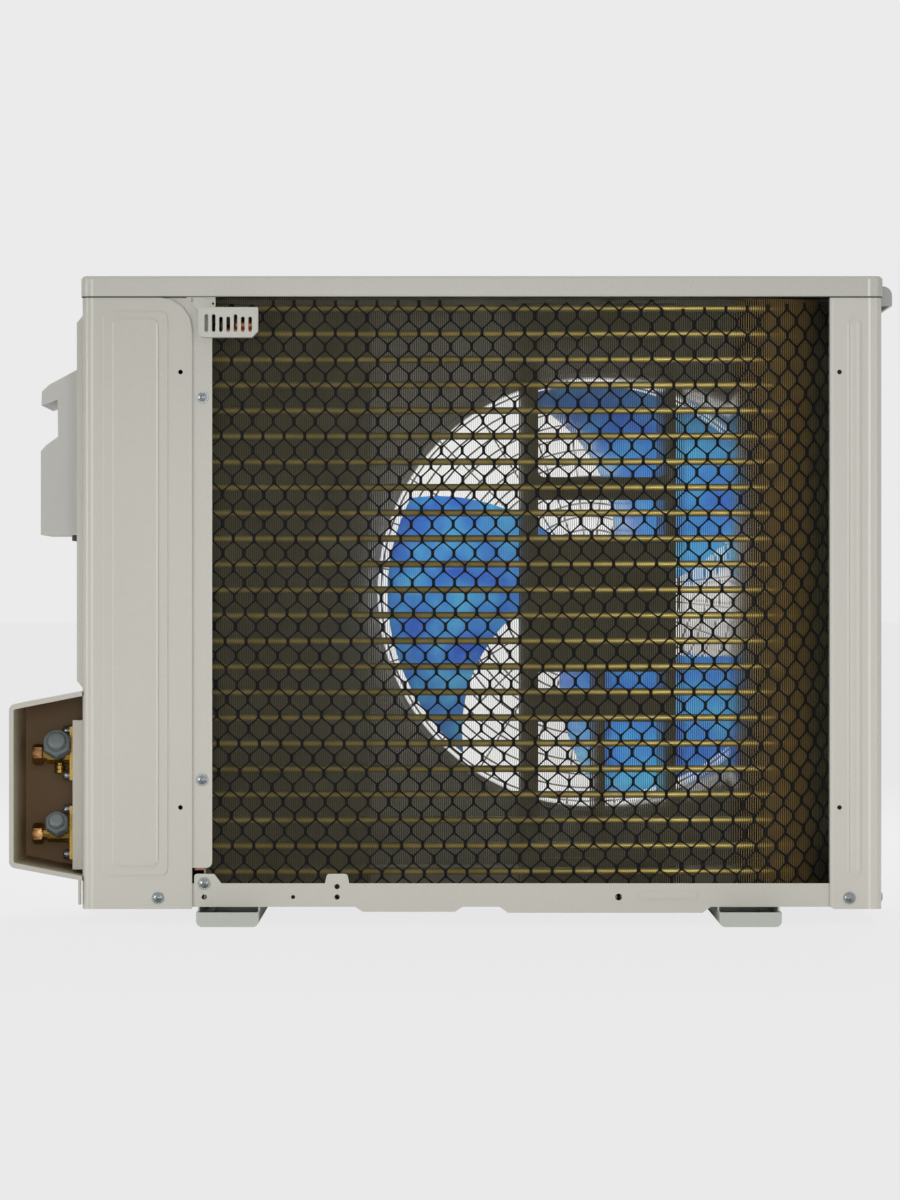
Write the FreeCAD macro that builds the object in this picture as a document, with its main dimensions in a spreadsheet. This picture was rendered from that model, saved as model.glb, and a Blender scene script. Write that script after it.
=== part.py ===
import FreeCAD, Part
import math
import os

import Sketcher

# Outdoor condensing unit of a split air conditioner, seen from the rear in its usual picture.
# +Z is up, -Y is the rear with the coil and the valves, +Y is the front with the fan guard.
# The origin lies on the ground, midway between the four foot bolts.

os.makedirs("parts", exist_ok=True)

# Driving dimensions in millimetres or whole counts: name, value, what it is
SIZES = [
    ("casing_width", 800.0, "casing width over its side panels"),
    ("casing_depth", 300.0, "casing depth, rear plane to front plane"),
    ("overall_height", 649.0, "ground to the top of the cover"),
    ("casing_shift", -6.75, "casing middle, to the right of the foot middle"),
    ("sheet", 1.0, "steel sheet of the casing panels"),
    ("seam", 0.3, "gap at the seams between panels"),
    ("fit", 0.2, "clearance where one pressing slips inside another"),
    ("bend_radius", 7.0, "outer radius of the upright casing bends"),
    ("skirt_height", 21.0, "turned down edge of the top cover"),
    ("cover_chamfer", 2.5, "bevel round the top of the cover"),
    ("cover_panel_margin", 55.0, "cover edge to its raised field"),
    ("cover_panel_rise", 1.5, "height of the cover's raised field"),
    ("floor_height", 18.0, "ground to the underside of the pan floor"),
    ("pan_wall", 1.2, "steel sheet of the base pan"),
    ("pan_rim", 23.5, "height of the pan rim over the floor underside"),
    ("pan_corner", 9.0, "corner radius of the base pan"),
    ("panel_drop", 2.0, "how far the side panels hang below the pan floor"),
    ("channel_drop", 5.0, "depth of the pressed drain channels"),
    ("narrow_channel_left", -134.0, "left edge of the narrow drain channel"),
    ("narrow_channel_width", 108.0, "width of the narrow drain channel"),
    ("wide_channel_left", 11.0, "left edge of the wide drain channel"),
    ("wide_channel_width", 211.0, "width of the wide drain channel"),
    ("wide_channel_extra", 1.0, "extra depth of the wide drain channel"),
    ("channel_slope", 8.0, "run of a channel's sloping side"),
    ("drain_radius", 12.5, "drain hole in the wide channel"),
    ("drain_slot_length", 34.0, "drain slots in the narrow channel"),
    ("drain_slot_width", 7.0, "width of a drain slot"),
    ("tab_width", 20.0, "upright tabs on the rear rim of the pan"),
    ("tab_rise", 9.5, "height of those tabs above the rim"),
    ("tab_corner", 3.0, "corner radius of those tabs"),
    ("tab_hole_radius", 2.6, "holes in those tabs"),
    ("tab_hole_drop", 3.3, "rim top down to the upper hole of the middle tab"),
    ("rim_hole_drop", 13.7, "rim top down to the row of holes in the rim"),
    ("rim_hole_left", -195.75, "small hole in the rim, right of the foot middle"),
    ("rim_hole_radius", 2.0, "small hole in the rim"),
    ("rim_port_left", 130.0, "large hole in the rim, right of the foot middle"),
    ("rim_port_radius", 3.4, "large hole in the rim"),
    ("corner_tab_left", -294.7, "left edge of the tab by the service panel"),
    ("corner_tab_slant", 8.0, "run of that tab's slanting side"),
    ("middle_tab_left", -161.7, "left edge of the tab on the rear rim"),
    ("middle_tab_slant", 2.5, "run of that tab's slanting sides"),
    ("rim_slot_left", 151.0, "left edge of the pressed slot on the rear rim"),
    ("rim_slot_length", 57.0, "length of that pressed slot"),
    ("rim_slot_height", 7.0, "height of that pressed slot"),
    ("rim_slot_rise", 1.0, "how far the pressed slot stands out"),
    ("foot_pitch", 520.0, "foot bolts apart, left to right"),
    ("bolt_inset", 12.0, "end of a foot rail to its bolt"),
    ("bolt_slot_width", 10.5, "width of a foot bolt slot"),
    ("bolt_slot_length", 16.5, "length of a foot bolt slot"),
    ("foot_width", 62.0, "width of a foot rail"),
    ("foot_length", 354.0, "length of a foot rail"),
    ("foot_wall", 1.6, "steel sheet of a foot rail"),
    ("foot_bend", 6.0, "bend radius along a foot rail"),
    ("foot_lip", 14.5, "height of a foot rail's turned up end"),
    ("service_width", 130.0, "rear leg of the service panel"),
    ("service_flange", 20.0, "recessed flange along that leg"),
    ("service_recess", 2.5, "step from the raised field to that flange"),
    ("service_corner", 33.0, "rounded upper corner of the raised field"),
    ("service_flange_end", 57.0, "ground to the lower end of the flange"),
    ("service_flange_corner", 6.0, "rounded lower corner of the flange"),
    ("panel_hole_radius", 2.3, "small holes in the two rear legs"),
    ("panel_hole_drop", 75.0, "cover skirt down to the upper small holes"),
    ("panel_hole_low", 117.5, "ground to the lower small holes"),
    ("service_hole_inset", 11.5, "raised field's edge to its small holes"),
    ("post_hole_inset", 9.5, "post's inner edge to its small holes"),
    ("rib_left", 21.5, "casing side to the wide rib of the service panel"),
    ("rib_width", 64.0, "width of the wide rib"),
    ("rib_step", 9.5, "inset of the narrow rib on the wide one"),
    ("rib_rise", 1.2, "height of each rib level"),
    ("rib_bottom", 50.0, "ground to the foot of the ribs"),
    ("rib_drop", 15.0, "cover skirt down to the ribs"),
    ("rib_corner", 7.0, "corner radius of the ribs"),
    ("side_field_rise", 6.5, "raised field on the service panel's side"),
    ("side_field_rear", 15.0, "rear plane to that raised field"),
    ("side_field_depth", 210.0, "length of that raised field, rear to front"),
    ("side_field_bottom", 236.0, "ground to the foot of that raised field"),
    ("side_field_drop", 17.0, "cover skirt down to that raised field"),
    ("side_field_slope", 8.0, "run of that raised field's sloping border"),
    ("post_width", 52.0, "rear flange of the coil side panel"),
    ("post_rib_offset", 19.5, "post's inner edge to its rib"),
    ("post_rib_width", 11.0, "width of the post's rib"),
    ("post_corner", 4.5, "rounded lower corner of the post"),
    ("side_window_rows", 8, "air openings in the coil side panel, rows"),
    ("side_window_width", 96.0, "width of one air opening"),
    ("side_window_height", 46.0, "height of one air opening"),
    ("side_window_bottom", 76.0, "ground to the lowest air opening"),
    ("side_window_drop", 44.0, "cover skirt down to the highest air opening"),
    ("side_window_rear", 34.0, "rear plane to the first column"),
    ("side_window_step", 112.0, "columns of air openings apart"),
    ("front_return", 24.0, "front panel's turned back sides"),
    ("fan_x", 112.0, "fan axis, right of the foot middle"),
    ("fan_lift", 10.0, "fan axis above the middle of the air space"),
    ("orifice_radius", 228.0, "air outlet in the front panel"),
    ("orifice_depth", 36.0, "length of the outlet's inward lip"),
    ("front_field_margin", 27.0, "casing side to the raised field of the front panel"),
    ("front_field_width", 150.0, "width of that raised field"),
    ("front_field_rise", 2.0, "height of that raised field"),
    ("guard_rise", 16.0, "front panel to the face of the fan guard"),
    ("guard_overlap", 12.0, "fan guard's reach past the outlet"),
    ("guard_wire", 2.4, "wire of the fan guard"),
    ("guard_spokes", 18, "radial wires of the fan guard"),
    ("guard_rings", 5, "ring wires on the flat face of the fan guard"),
    ("guard_hub", 40.0, "radius of the guard's middle disc"),
    ("coil_setback", 13.0, "rear plane to the coil's face"),
    ("coil_thickness", 22.0, "fin width of the single row coil"),
    ("tube_count", 24, "coil tubes in the row"),
    ("tube_size", 7.0, "outside diameter of a coil tube"),
    ("coil_left", -284.0, "first fin, right of the foot middle"),
    ("coil_side_gap", 22.0, "coil's side leg to the casing side"),
    ("coil_bend", 130.0, "outer radius of the coil's bend"),
    ("coil_front_gap", 18.0, "coil's side leg to the front plane"),
    ("fin_groove_pitch", 56.0, "fin grooves apart"),
    ("fin_groove_width", 3.0, "width of a fin groove"),
    ("fin_groove_depth", 12.0, "depth of a fin groove"),
    ("end_plate", 1.5, "thickness of the coil's end plates"),
    ("end_plate_lip", 6.0, "how far an end plate stands past the fins"),
    ("bend_reach", 17.0, "how far a return bend stands out"),
    ("net_cell", 82.0, "openings of the net apart, left to right"),
    ("net_strand", 2.4, "width of a net strand"),
    ("net_thickness", 1.2, "thickness of the net"),
    ("net_columns", 6, "openings of the net in a row"),
    ("net_rows", 2, "double rows of openings in the net"),
    ("partition_front_x", -125.0, "partition at the front panel"),
    ("partition_near", 75.0, "rear plane to the partition's slant"),
    ("partition_far", 215.0, "rear plane to the end of that slant"),
    ("bracket_y", -60.0, "rear face of the motor bracket"),
    ("bracket_width", 160.0, "width of the motor bracket"),
    ("bracket_post", 19.5, "width of a bracket post"),
    ("bracket_mid_post", 16.0, "width of the bracket's lower middle post"),
    ("bracket_sheet", 1.2, "steel sheet of the motor bracket"),
    ("bracket_flange", 12.0, "depth of the bracket's side flanges"),
    ("bracket_window_radius", 6.0, "corner radius of the bracket windows"),
    ("bracket_band_low", 93.5, "fan axis up to the bracket's upper band"),
    ("bracket_band_high", 117.0, "fan axis up to the top of that band"),
    ("bracket_slot_high", 82.0, "fan axis down to the bracket's slots"),
    ("bracket_slot_low", 98.5, "fan axis down to the foot of the slots"),
    ("bracket_lower_band", 133.0, "fan axis down to the lower windows"),
    ("bracket_window_bottom", 62.0, "ground to the foot of the lower windows"),
    ("bracket_window_drop", 28.0, "cover skirt down to the upper window"),
    ("mount_plate_height", 114.0, "height of the motor's mounting plate"),
    ("mount_plate_thickness", 3.0, "thickness of that plate"),
    ("motor_radius", 56.0, "fan motor can"),
    ("motor_length", 88.0, "length of the fan motor can"),
    ("shaft_radius", 5.0, "motor shaft"),
    ("shaft_length", 109.0, "motor shaft past the can"),
    ("shaft_clearance", 0.05, "running clearance round the shaft"),
    ("shaft_entry", 30.0, "shaft's length inside the motor"),
    ("hub_rear", 55.0, "front of the can to the rear of the fan hub"),
    ("hub_length", 44.0, "length of the fan hub"),
    ("hub_radius", 46.0, "radius of the fan hub"),
    ("hub_wall", 3.0, "wall of the fan hub"),
    ("hub_sleeve", 10.0, "radius of the sleeve on the shaft"),
    ("blade_tip", 217.0, "radius of the blade tips"),
    ("blade_thickness", 2.6, "thickness of a blade"),
    ("blade_root_slope", 0.62, "rise of a blade at the hub per unit of chord"),
    ("blade_tip_slope", 0.2, "rise of a blade at the tip per unit of chord"),
    ("blade_set_back", 20.0, "hub front to the middle of a blade"),
    ("nut_radius", 8.5, "fan nut across its corners, halved"),
    ("nut_height", 7.0, "height of the fan nut"),
    ("compressor_x", -322.0, "compressor, right of the foot middle"),
    ("compressor_y", 40.0, "compressor, in front of the middle"),
    ("compressor_radius", 59.0, "compressor shell"),
    ("compressor_height", 250.0, "compressor shell"),
    ("compressor_dome", 24.0, "height of the shell's domed ends"),
    ("compressor_foot", 78.0, "compressor axis to its feet"),
    ("foot_plate", 3.0, "thickness of the compressor's foot plate"),
    ("foot_tip_width", 17.0, "width of the foot plate at a foot"),
    ("grommet_radius", 12.0, "rubber grommet"),
    ("grommet_height", 18.0, "rubber grommet"),
    ("stud_nut_radius", 8.0, "compressor nuts across corners, halved"),
    ("stud_nut_height", 7.0, "compressor nuts"),
    ("accumulator_radius", 30.0, "suction accumulator"),
    ("accumulator_height", 150.0, "suction accumulator"),
    ("accumulator_gap", 7.0, "compressor shell to the accumulator"),
    ("accumulator_lift", 70.0, "foot plate to the accumulator"),
    ("pipe_radius", 6.35, "suction and discharge pipes"),
    ("liquid_pipe_radius", 4.8, "liquid pipe"),
    ("pipe_bend", 22.0, "bend radius of the pipes"),
    ("box_drop", 80.0, "cover skirt down to the electrical box"),
    ("box_height", 120.0, "height of the electrical box"),
    ("box_width", 178.0, "width of the electrical box"),
    ("box_rear", -5.0, "rear wall of the electrical box, from the middle"),
    ("box_depth", 125.0, "depth of the electrical box"),
    ("box_wall", 1.2, "steel sheet of the electrical box"),
    ("board_thickness", 1.6, "circuit board"),
    ("board_lift", 10.0, "circuit board above the box floor"),
    ("capacitor_length", 48.0, "length of the run capacitor"),
    ("capacitor_width", 22.0, "width of the run capacitor"),
    ("capacitor_height", 36.0, "height of the run capacitor"),
    ("terminal_rear", 30.0, "rear plane to the terminal cover"),
    ("terminal_depth", 128.0, "terminal cover, rear to front"),
    ("terminal_drop", 70.5, "cover skirt down to the terminal cover"),
    ("terminal_height", 167.0, "height of the terminal cover"),
    ("terminal_reach", 37.6, "how far the terminal cover stands out"),
    ("terminal_wall", 2.5, "wall of the terminal cover"),
    ("block_height", 74.0, "terminal block"),
    ("block_depth", 26.0, "terminal block, rear to front"),
    ("block_reach", 18.0, "how far the terminal block stands out"),
    ("clamp_length", 60.0, "cable clamp, rear to front"),
    ("clamp_reach", 7.0, "how far the cable clamp stands out"),
    ("clamp_height", 5.5, "height of the cable clamp"),
    ("valve_cover_rear", 0.0, "rear plane to the valve cover's mouth"),
    ("valve_cover_depth", 130.0, "valve cover, rear to front"),
    ("valve_cover_bottom", 44.3, "ground to the cover's foot at the casing"),
    ("valve_cover_height", 189.2, "valve cover at the casing"),
    ("valve_cover_reach", 73.0, "how far the valve cover stands out"),
    ("valve_cover_slope", 13.5, "slope of the cover's top and bottom"),
    ("valve_cover_wall", 4.5, "wall of the valve cover"),
    ("valve_cover_tab", 24.0, "length of the tab below the valve cover"),
    ("valve_cover_tab_gap", 1.5, "casing side to that tab"),
    ("valve_cover_tab_wall", 2.3, "thickness of that tab"),
    ("valve_plate_rise", 11.5, "how far the valve plate stands out"),
    ("valve_plate_bottom", 54.0, "ground to the valve plate"),
    ("valve_plate_height", 150.0, "height of the valve plate"),
    ("valve_plate_rear", 24.0, "rear plane to the valve plate"),
    ("valve_plate_depth", 84.0, "valve plate, rear to front"),
    ("valve_y", -85.0, "valve bodies, from the middle"),
    ("gas_valve_z", 168.0, "gas valve above the ground"),
    ("liquid_valve_z", 88.0, "liquid valve above the ground"),
    ("gas_body_radius", 9.5, "gas valve body"),
    ("liquid_body_radius", 9.0, "liquid valve body"),
    ("valve_body_length", 36.0, "valve body past its flange"),
    ("valve_flange", 5.5, "thickness of a valve flange"),
    ("valve_flange_width", 26.0, "valve flange, rear to front"),
    ("valve_flange_height", 54.0, "valve flange"),
    ("flange_low_share", 0.47, "share of a valve flange below its axis"),
    ("neck_radius", 6.5, "threaded neck of a valve body"),
    ("neck_length", 13.0, "length of that neck"),
    ("valve_inlet", 20.0, "casing side to the inner end of a valve"),
    ("port_tilt", 20.0, "upward tilt of the flare ports, in degrees"),
    ("port_offset", 11.0, "valve flange to the flare port"),
    ("gas_port_radius", 8.5, "gas flare port"),
    ("liquid_port_radius", 6.5, "liquid flare port"),
    ("port_length", 40.0, "valve axis to the end of a flare port"),
    ("gas_cap_flats", 13.0, "gas flare cap across flats, halved"),
    ("liquid_cap_flats", 10.7, "liquid flare cap across flats, halved"),
    ("cap_length", 24.0, "length of a flare cap's hexagon"),
    ("cap_dome", 7.0, "height of a flare cap's dome"),
    ("cap_seat", 17.0, "valve axis to the seat of a flare cap"),
    ("cap_wall", 2.5, "closed end of a stem or gauge port cap"),
    ("stem_radius", 4.0, "valve stem"),
    ("stem_length", 20.0, "valve stem"),
    ("stem_clearance", 0.05, "running clearance round a valve stem"),
    ("stem_travel", 5.0, "free depth behind a valve stem"),
    ("stem_cap_flats", 9.5, "stem cap across flats, halved"),
    ("stem_cap_height", 11.0, "stem cap"),
    ("service_port_radius", 4.0, "gauge port on the gas valve"),
    ("service_port_length", 17.0, "gas valve axis to the gauge port's end"),
    ("port_cap_radius", 6.0, "gauge port cap"),
    ("port_cap_height", 9.0, "gauge port cap"),
    ("sensor_left", -289.75, "left end of the sensor holder"),
    ("sensor_width", 59.5, "width of the sensor holder"),
    ("sensor_height", 30.0, "height of the sensor holder"),
    ("sensor_drop", 11.0, "cover skirt to the sensor holder"),
    ("sensor_depth", 15.0, "depth of the sensor holder"),
    ("sensor_wall", 2.0, "wall of the sensor holder"),
    ("sensor_slots", 7, "slots in the sensor holder"),
    ("sensor_slot_pitch", 7.3, "slots apart"),
    ("sensor_slot_width", 3.7, "width of a slot"),
    ("sensor_slot_height", 16.5, "height of a slot"),
    ("sensor_radius", 3.0, "air temperature sensor"),
    ("sensor_length", 30.0, "air temperature sensor"),
    ("handle_rear", 30.0, "rear plane to the side handle"),
    ("handle_length", 110.0, "side handle, rear to front"),
    ("handle_reach", 12.0, "how far the side handle stands out"),
    ("handle_height", 20.0, "side handle"),
    ("handle_drop", 8.0, "cover top to the side handle"),
    ("handle_wall", 2.5, "wall of the side handle"),
    ("screw_radius", 6.2, "head of a casing screw"),
    ("screw_head", 3.0, "height of a casing screw's head"),
    ("valve_screw_share", 0.65, "valve screw's head against a casing screw's"),
    ("flange_screw_drop", 100.0, "cover skirt down to the flange's upper screw"),
    ("flange_screw_low", 145.0, "ground to the flange's lower screw"),
    ("rim_screw_rise", 9.0, "pan floor to the screws in its rim"),
]

# Angles of a fan blade's two edges at the hub, at middle span and at the tip
BLADE_TRAILING = (116.0, 136.5, 152.5)
BLADE_LEADING = (179.0, 208.5, 231.0)
BLADE_COUNT = 3
BLADE_MIDDLE = 172.0
# Upright side of a net opening, as a share of the rows' pitch
NET_SIDE_SHARE = 0.2
HEXAGON = 6
PIPE_FLATS = 8
# Straight pieces that stand for one bend of a pipe
BEND_STEPS = 3
ROUND_FLATS = 12
# How close an edge lies to a height to be taken as at that height
LEVEL_TOLERANCE = 0.01
# Directions of the fin grooves round the coil's bend, in degrees from the rear
BEND_GROOVES = (22.5, 45.0, 67.5)
# Where the grooves of the coil's side leg lie, in groove pitches past the bend
SIDE_GROOVES = (0.5, 1.5)
# Nearest approach of a rounding to its corner, against its radius
ARC_INSET = 1 - math.sqrt(0.5)
# Radius where the fan guard starts to slope, against the outlet's
GUARD_SHOULDER_SHARE = 0.86
# Round end of a flare cap against its hexagon
CAP_END_SHARE = 0.7
# Outline of the terminal cover from the rear: shares of its reach and of its height,
# then the way from each corner to the inside, sideways and up, in walls
TERMINAL_OUTLINE = [
    (0.0, 1.0, 0.0, -1.3),
    (0.77, 0.907, 0.6, -1.2),
    (0.97, 0.865, 1.0, -0.4),
    (0.985, 0.781, 1.0, 1.3),
    (0.55, 0.815, 1.0, 1.0),
    (0.54, 0.593, 1.0, -1.0),
    (0.87, 0.539, 0.5, -1.2),
    (1.0, 0.504, 1.0, -0.4),
    (1.0, 0.0, 1.0, 1.0),
    (0.0, 0.0, 0.0, 1.0),
]
# Cosine and sine of the three foot directions
FOOT_DIRECTIONS = [(0.0, 1.0), (-0.866, -0.5), (0.866, -0.5)]

doc = FreeCAD.newDocument("outdoor_unit")
sheet = doc.addObject("Spreadsheet::Sheet", "Sizes")
subparts = []


class Size:
    """A length known both as a number and as the sheet expression that gives it."""

    def __init__(self, value, text):
        self.value = float(value)
        self.text = text

    def __add__(self, other):
        return Size(self.value + number(other), f"({self.text} + {text(other)})")

    def __radd__(self, other):
        return Size(number(other) + self.value, f"({text(other)} + {self.text})")

    def __sub__(self, other):
        return Size(self.value - number(other), f"({self.text} - {text(other)})")

    def __rsub__(self, other):
        return Size(number(other) - self.value, f"({text(other)} - {self.text})")

    def __mul__(self, other):
        return Size(self.value * number(other), f"({self.text} * {text(other)})")

    __rmul__ = __mul__

    def __truediv__(self, other):
        return Size(self.value / number(other), f"({self.text} / {text(other)})")

    def __neg__(self):
        return Size(-self.value, f"(0 - {self.text})")


def number(length):
    return length.value if isinstance(length, Size) else float(length)


def text(length):
    return length.text if isinstance(length, Size) else f"({float(length)})"


class Dimensions:
    """The sheet's cells by name, each as a Size."""


def fill_sheet():
    """Write the driving dimensions into the sheet and return them by name."""
    cells = Dimensions()
    for row, (name, value, meaning) in enumerate(SIZES, start=1):
        sheet.set(f"A{row}", name)
        sheet.set(f"B{row}", str(value))
        sheet.set(f"C{row}", meaning)
        sheet.setAlias(f"B{row}", name)
        setattr(cells, name, Size(value, f"Sizes.{name}"))
    doc.recompute()
    return cells


d = fill_sheet()
ZERO = Size(0, "0")

# Planes that several sub-parts share
LEFT = d.casing_shift - d.casing_width / 2
RIGHT = d.casing_shift + d.casing_width / 2
REAR = -d.casing_depth / 2
FRONT = d.casing_depth / 2
TOP = d.overall_height
SKIRT = TOP - d.skirt_height
PANEL_TOP = SKIRT - d.seam
PANEL_BOTTOM = d.floor_height - d.panel_drop
FLOOR_TOP = d.floor_height + d.pan_wall
WIDE_CHANNEL_FLOOR = FLOOR_TOP - d.channel_drop - d.wide_channel_extra
RIM_TOP = d.floor_height + d.pan_rim
COVER_OVERHANG = d.sheet + d.fit
COLLAR_TOP = SKIRT + d.skirt_height / 2
RIB_TOP = SKIRT - d.rib_drop
TERMINAL_LOW = SKIRT - d.terminal_drop - d.terminal_height
FAN_Z = (FLOOR_TOP + SKIRT) / 2 + d.fan_lift
PAN_REAR = REAR + d.service_recess
COIL_REAR = REAR + d.coil_setback
COIL_FRONT = COIL_REAR + d.coil_thickness
COIL_RIGHT = RIGHT - d.coil_side_gap
COIL_TOP = SKIRT
COIL_BEND_X = COIL_RIGHT - d.coil_bend
COIL_BEND_Y = COIL_REAR + d.coil_bend
TUBE_PITCH = (COIL_TOP - FLOOR_TOP) / d.tube_count
MOTOR_FRONT = d.bracket_y + d.bracket_sheet + d.motor_length
HUB_REAR = MOTOR_FRONT + d.hub_rear
HUB_FRONT = HUB_REAR + d.hub_length


def bind(item, prop, length):
    """Bind one property to the sheet."""
    item.setExpression(prop, text(length))


def place(item, x, y, z):
    bind(item, "Placement.Base.x", x)
    bind(item, "Placement.Base.y", y)
    bind(item, "Placement.Base.z", z)


def keep(item, label):
    """Make an object one of the sub-parts that are written out."""
    item.Label = label
    subparts.append(item)
    return item


# Sketch outlines


class Circle:
    def __init__(self, x, y, radius):
        self.x = x
        self.y = y
        self.radius = radius


def rectangle(x0, y0, x1, y1, radius=None):
    """Corners of a rectangle, anticlockwise, all rounded alike or all sharp."""
    return [(x0, y0, radius), (x1, y0, radius), (x1, y1, radius), (x0, y1, radius)]


def clipped(x0, y0, x1, y1, size):
    """Corners of a rectangle whose corners are cut off, anticlockwise."""
    return [
        (x0 + size, y0),
        (x1 - size, y0),
        (x1, y0 + size),
        (x1, y1 - size),
        (x1 - size, y1),
        (x0 + size, y1),
        (x0, y1 - size),
        (x0, y0 + size),
    ]


def regular(sides, radius):
    """Corners of a regular polygon round the origin."""
    corners = []
    for i in range(int(sides)):
        angle = 2 * math.pi * i / int(sides)
        corners.append((radius * math.cos(angle), radius * math.sin(angle)))
    return corners


def rounded_off(x, y, inward, up, size, past):
    """What goes at a corner to round it, with flats and a little past the edges."""
    near = size * ARC_INSET
    return [
        (x - past * inward, y - past * up),
        (x + size * inward, y - past * up),
        (x + near * inward, y + near * up),
        (x - past * inward, y + size * up),
    ]


def hole(x, y, radius):
    """A hole with flats that clears a round bar."""
    reach = round_hole(radius)
    return [(x + reach * across, y + reach * up) for across, up in regular(ROUND_FLATS, 1)]


def round_hole(radius):
    """Corner radius of a hole with flats that just clears a round bar."""
    return radius / math.cos(math.pi / ROUND_FLATS)


def flat(x, y):
    return FreeCAD.Vector(x, y, 0)


def rounding(before, corner, after, radius):
    """Start, end, middle and turning sense of the arc that rounds a corner."""
    into = (before - corner).normalize()
    out = (after - corner).normalize()
    half = into.getAngle(out) / 2
    reach = radius / math.tan(half)
    centre = corner + (into + out).normalize() * (radius / math.sin(half))
    left_turn = (-into).cross(out).z > 0
    return corner + into * reach, corner + out * reach, centre, left_turn


def draw_circle(sketch, circle):
    middle = flat(number(circle.x), number(circle.y))
    index = sketch.addGeometry(
        Part.Circle(middle, FreeCAD.Vector(0, 0, 1), number(circle.radius)), False
    )
    rules = [
        (Sketcher.Constraint("DistanceX", -1, 1, index, 3, middle.x), circle.x),
        (Sketcher.Constraint("DistanceY", -1, 1, index, 3, middle.y), circle.y),
        (Sketcher.Constraint("Radius", index, number(circle.radius)), circle.radius),
    ]
    add_rules(sketch, rules)


def add_rules(sketch, rules):
    """Add constraints, and bind those that carry a size."""
    first = sketch.ConstraintCount
    sketch.addConstraint([rule for rule, _ in rules])
    for offset, (_, length) in enumerate(rules):
        if length is not None:
            sketch.setExpression(f"Constraints[{first + offset}]", text(length))


def draw_corners(sketch, corners):
    """A closed outline through (x, y) or (x, y, radius) corners."""
    count = len(corners)
    points = [flat(number(corner[0]), number(corner[1])) for corner in corners]
    radii = [corner[2] if len(corner) > 2 else None for corner in corners]
    starts = list(points)
    ends = list(points)
    arcs = {}
    for i in range(count):
        if radii[i] is None:
            continue
        entry, leave, centre, left_turn = rounding(
            points[i - 1], points[i], points[(i + 1) % count], number(radii[i])
        )
        ends[i - 1] = entry
        starts[i] = leave
        arcs[i] = (entry, leave, centre, left_turn)
    ends = [ends[i] if (i + 1) % count in arcs else points[(i + 1) % count] for i in range(count)]
    lines = sketch.addGeometry(
        [Part.LineSegment(starts[i], ends[i]) for i in range(count)], False
    )
    rules = []
    for i in range(count):
        before = lines[i - 1]
        after = lines[i]
        if i not in arcs:
            rules.append((Sketcher.Constraint("Coincident", before, 2, after, 1), None))
            at, end = after, 1
        else:
            arc, virtual = draw_rounding(sketch, points[i], arcs[i])
            first, last = (1, 2) if arcs[i][3] else (2, 1)
            rules += [
                (Sketcher.Constraint("Tangent", before, 2, arc, first), None),
                (Sketcher.Constraint("Tangent", arc, last, after, 1), None),
                (Sketcher.Constraint("Radius", arc, number(radii[i])), radii[i]),
                (Sketcher.Constraint("PointOnObject", virtual, 1, before), None),
                (Sketcher.Constraint("PointOnObject", virtual, 1, after), None),
            ]
            at, end = virtual, 1
        rules += [
            (Sketcher.Constraint("DistanceX", -1, 1, at, end, points[i].x), corners[i][0]),
            (Sketcher.Constraint("DistanceY", -1, 1, at, end, points[i].y), corners[i][1]),
        ]
    add_rules(sketch, rules)


def draw_rounding(sketch, corner, arc_points):
    entry, leave, centre, left_turn = arc_points
    first, last = (entry, leave) if left_turn else (leave, entry)
    start_angle = math.atan2(first.y - centre.y, first.x - centre.x)
    end_angle = math.atan2(last.y - centre.y, last.x - centre.x)
    circle = Part.Circle(centre, FreeCAD.Vector(0, 0, 1), (entry - centre).Length)
    arc = sketch.addGeometry(Part.ArcOfCircle(circle, start_angle, end_angle), False)
    virtual = sketch.addGeometry(Part.Point(corner), True)
    return arc, virtual


def draw(sketch, outlines):
    for outline in outlines:
        if isinstance(outline, Circle):
            draw_circle(sketch, outline)
        else:
            draw_corners(sketch, outline)


# Bodies and their features

PLANES = {"x": "YZ_Plane", "y": "XZ_Plane", "z": "XY_Plane"}


def new_body(label):
    return keep(doc.addObject("PartDesign::Body", label), label)


def new_sketch(body, axis, height, outlines):
    """A sketch square to an axis. Its own axes are the other two, in the order x, y, z."""
    sketch = body.newObject("Sketcher::SketchObject", f"{body.Name}_sketch")
    plane = [item for item in body.Origin.OriginFeatures if item.Role == PLANES[axis]][0]
    sketch.AttachmentSupport = [(plane, "")]
    sketch.MapMode = "FlatFace"
    bind(sketch, "AttachmentOffset.Base.z", -height if axis == "y" else height)
    draw(sketch, outlines)
    return sketch


def pad(body, axis, low, high, *outlines):
    """Add material between two heights along an axis."""
    sketch = new_sketch(body, axis, high if axis == "y" else low, outlines)
    feature = body.newObject("PartDesign::Pad", f"{body.Name}_pad")
    feature.Profile = sketch
    bind(feature, "Length", high - low)
    body.Tip = feature
    return feature


def pocket(body, axis, low, high, *outlines):
    """Take material away between two heights along an axis."""
    sketch = new_sketch(body, axis, low if axis == "y" else high, outlines)
    feature = body.newObject("PartDesign::Pocket", f"{body.Name}_pocket")
    feature.Profile = sketch
    bind(feature, "Length", high - low)
    body.Tip = feature
    return feature


def turned(label, axis, profile, x, y, z):
    """A body turned about its own axis from (distance along, radius) corners, then placed."""
    body = new_body(label)
    if axis == "z":
        plane, edge = "y", "V_Axis"
        corners = [(corner[1], corner[0]) + tuple(corner[2:]) for corner in profile]
    else:
        plane, edge = ("x", "H_Axis") if axis == "y" else ("y", "H_Axis")
        corners = profile
    sketch = new_sketch(body, plane, ZERO, [corners])
    feature = body.newObject("PartDesign::Revolution", f"{body.Name}_turning")
    feature.Profile = sketch
    feature.ReferenceAxis = (sketch, [edge])
    feature.Angle = 360
    body.Tip = feature
    place(body, x, y, z)
    return body


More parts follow.
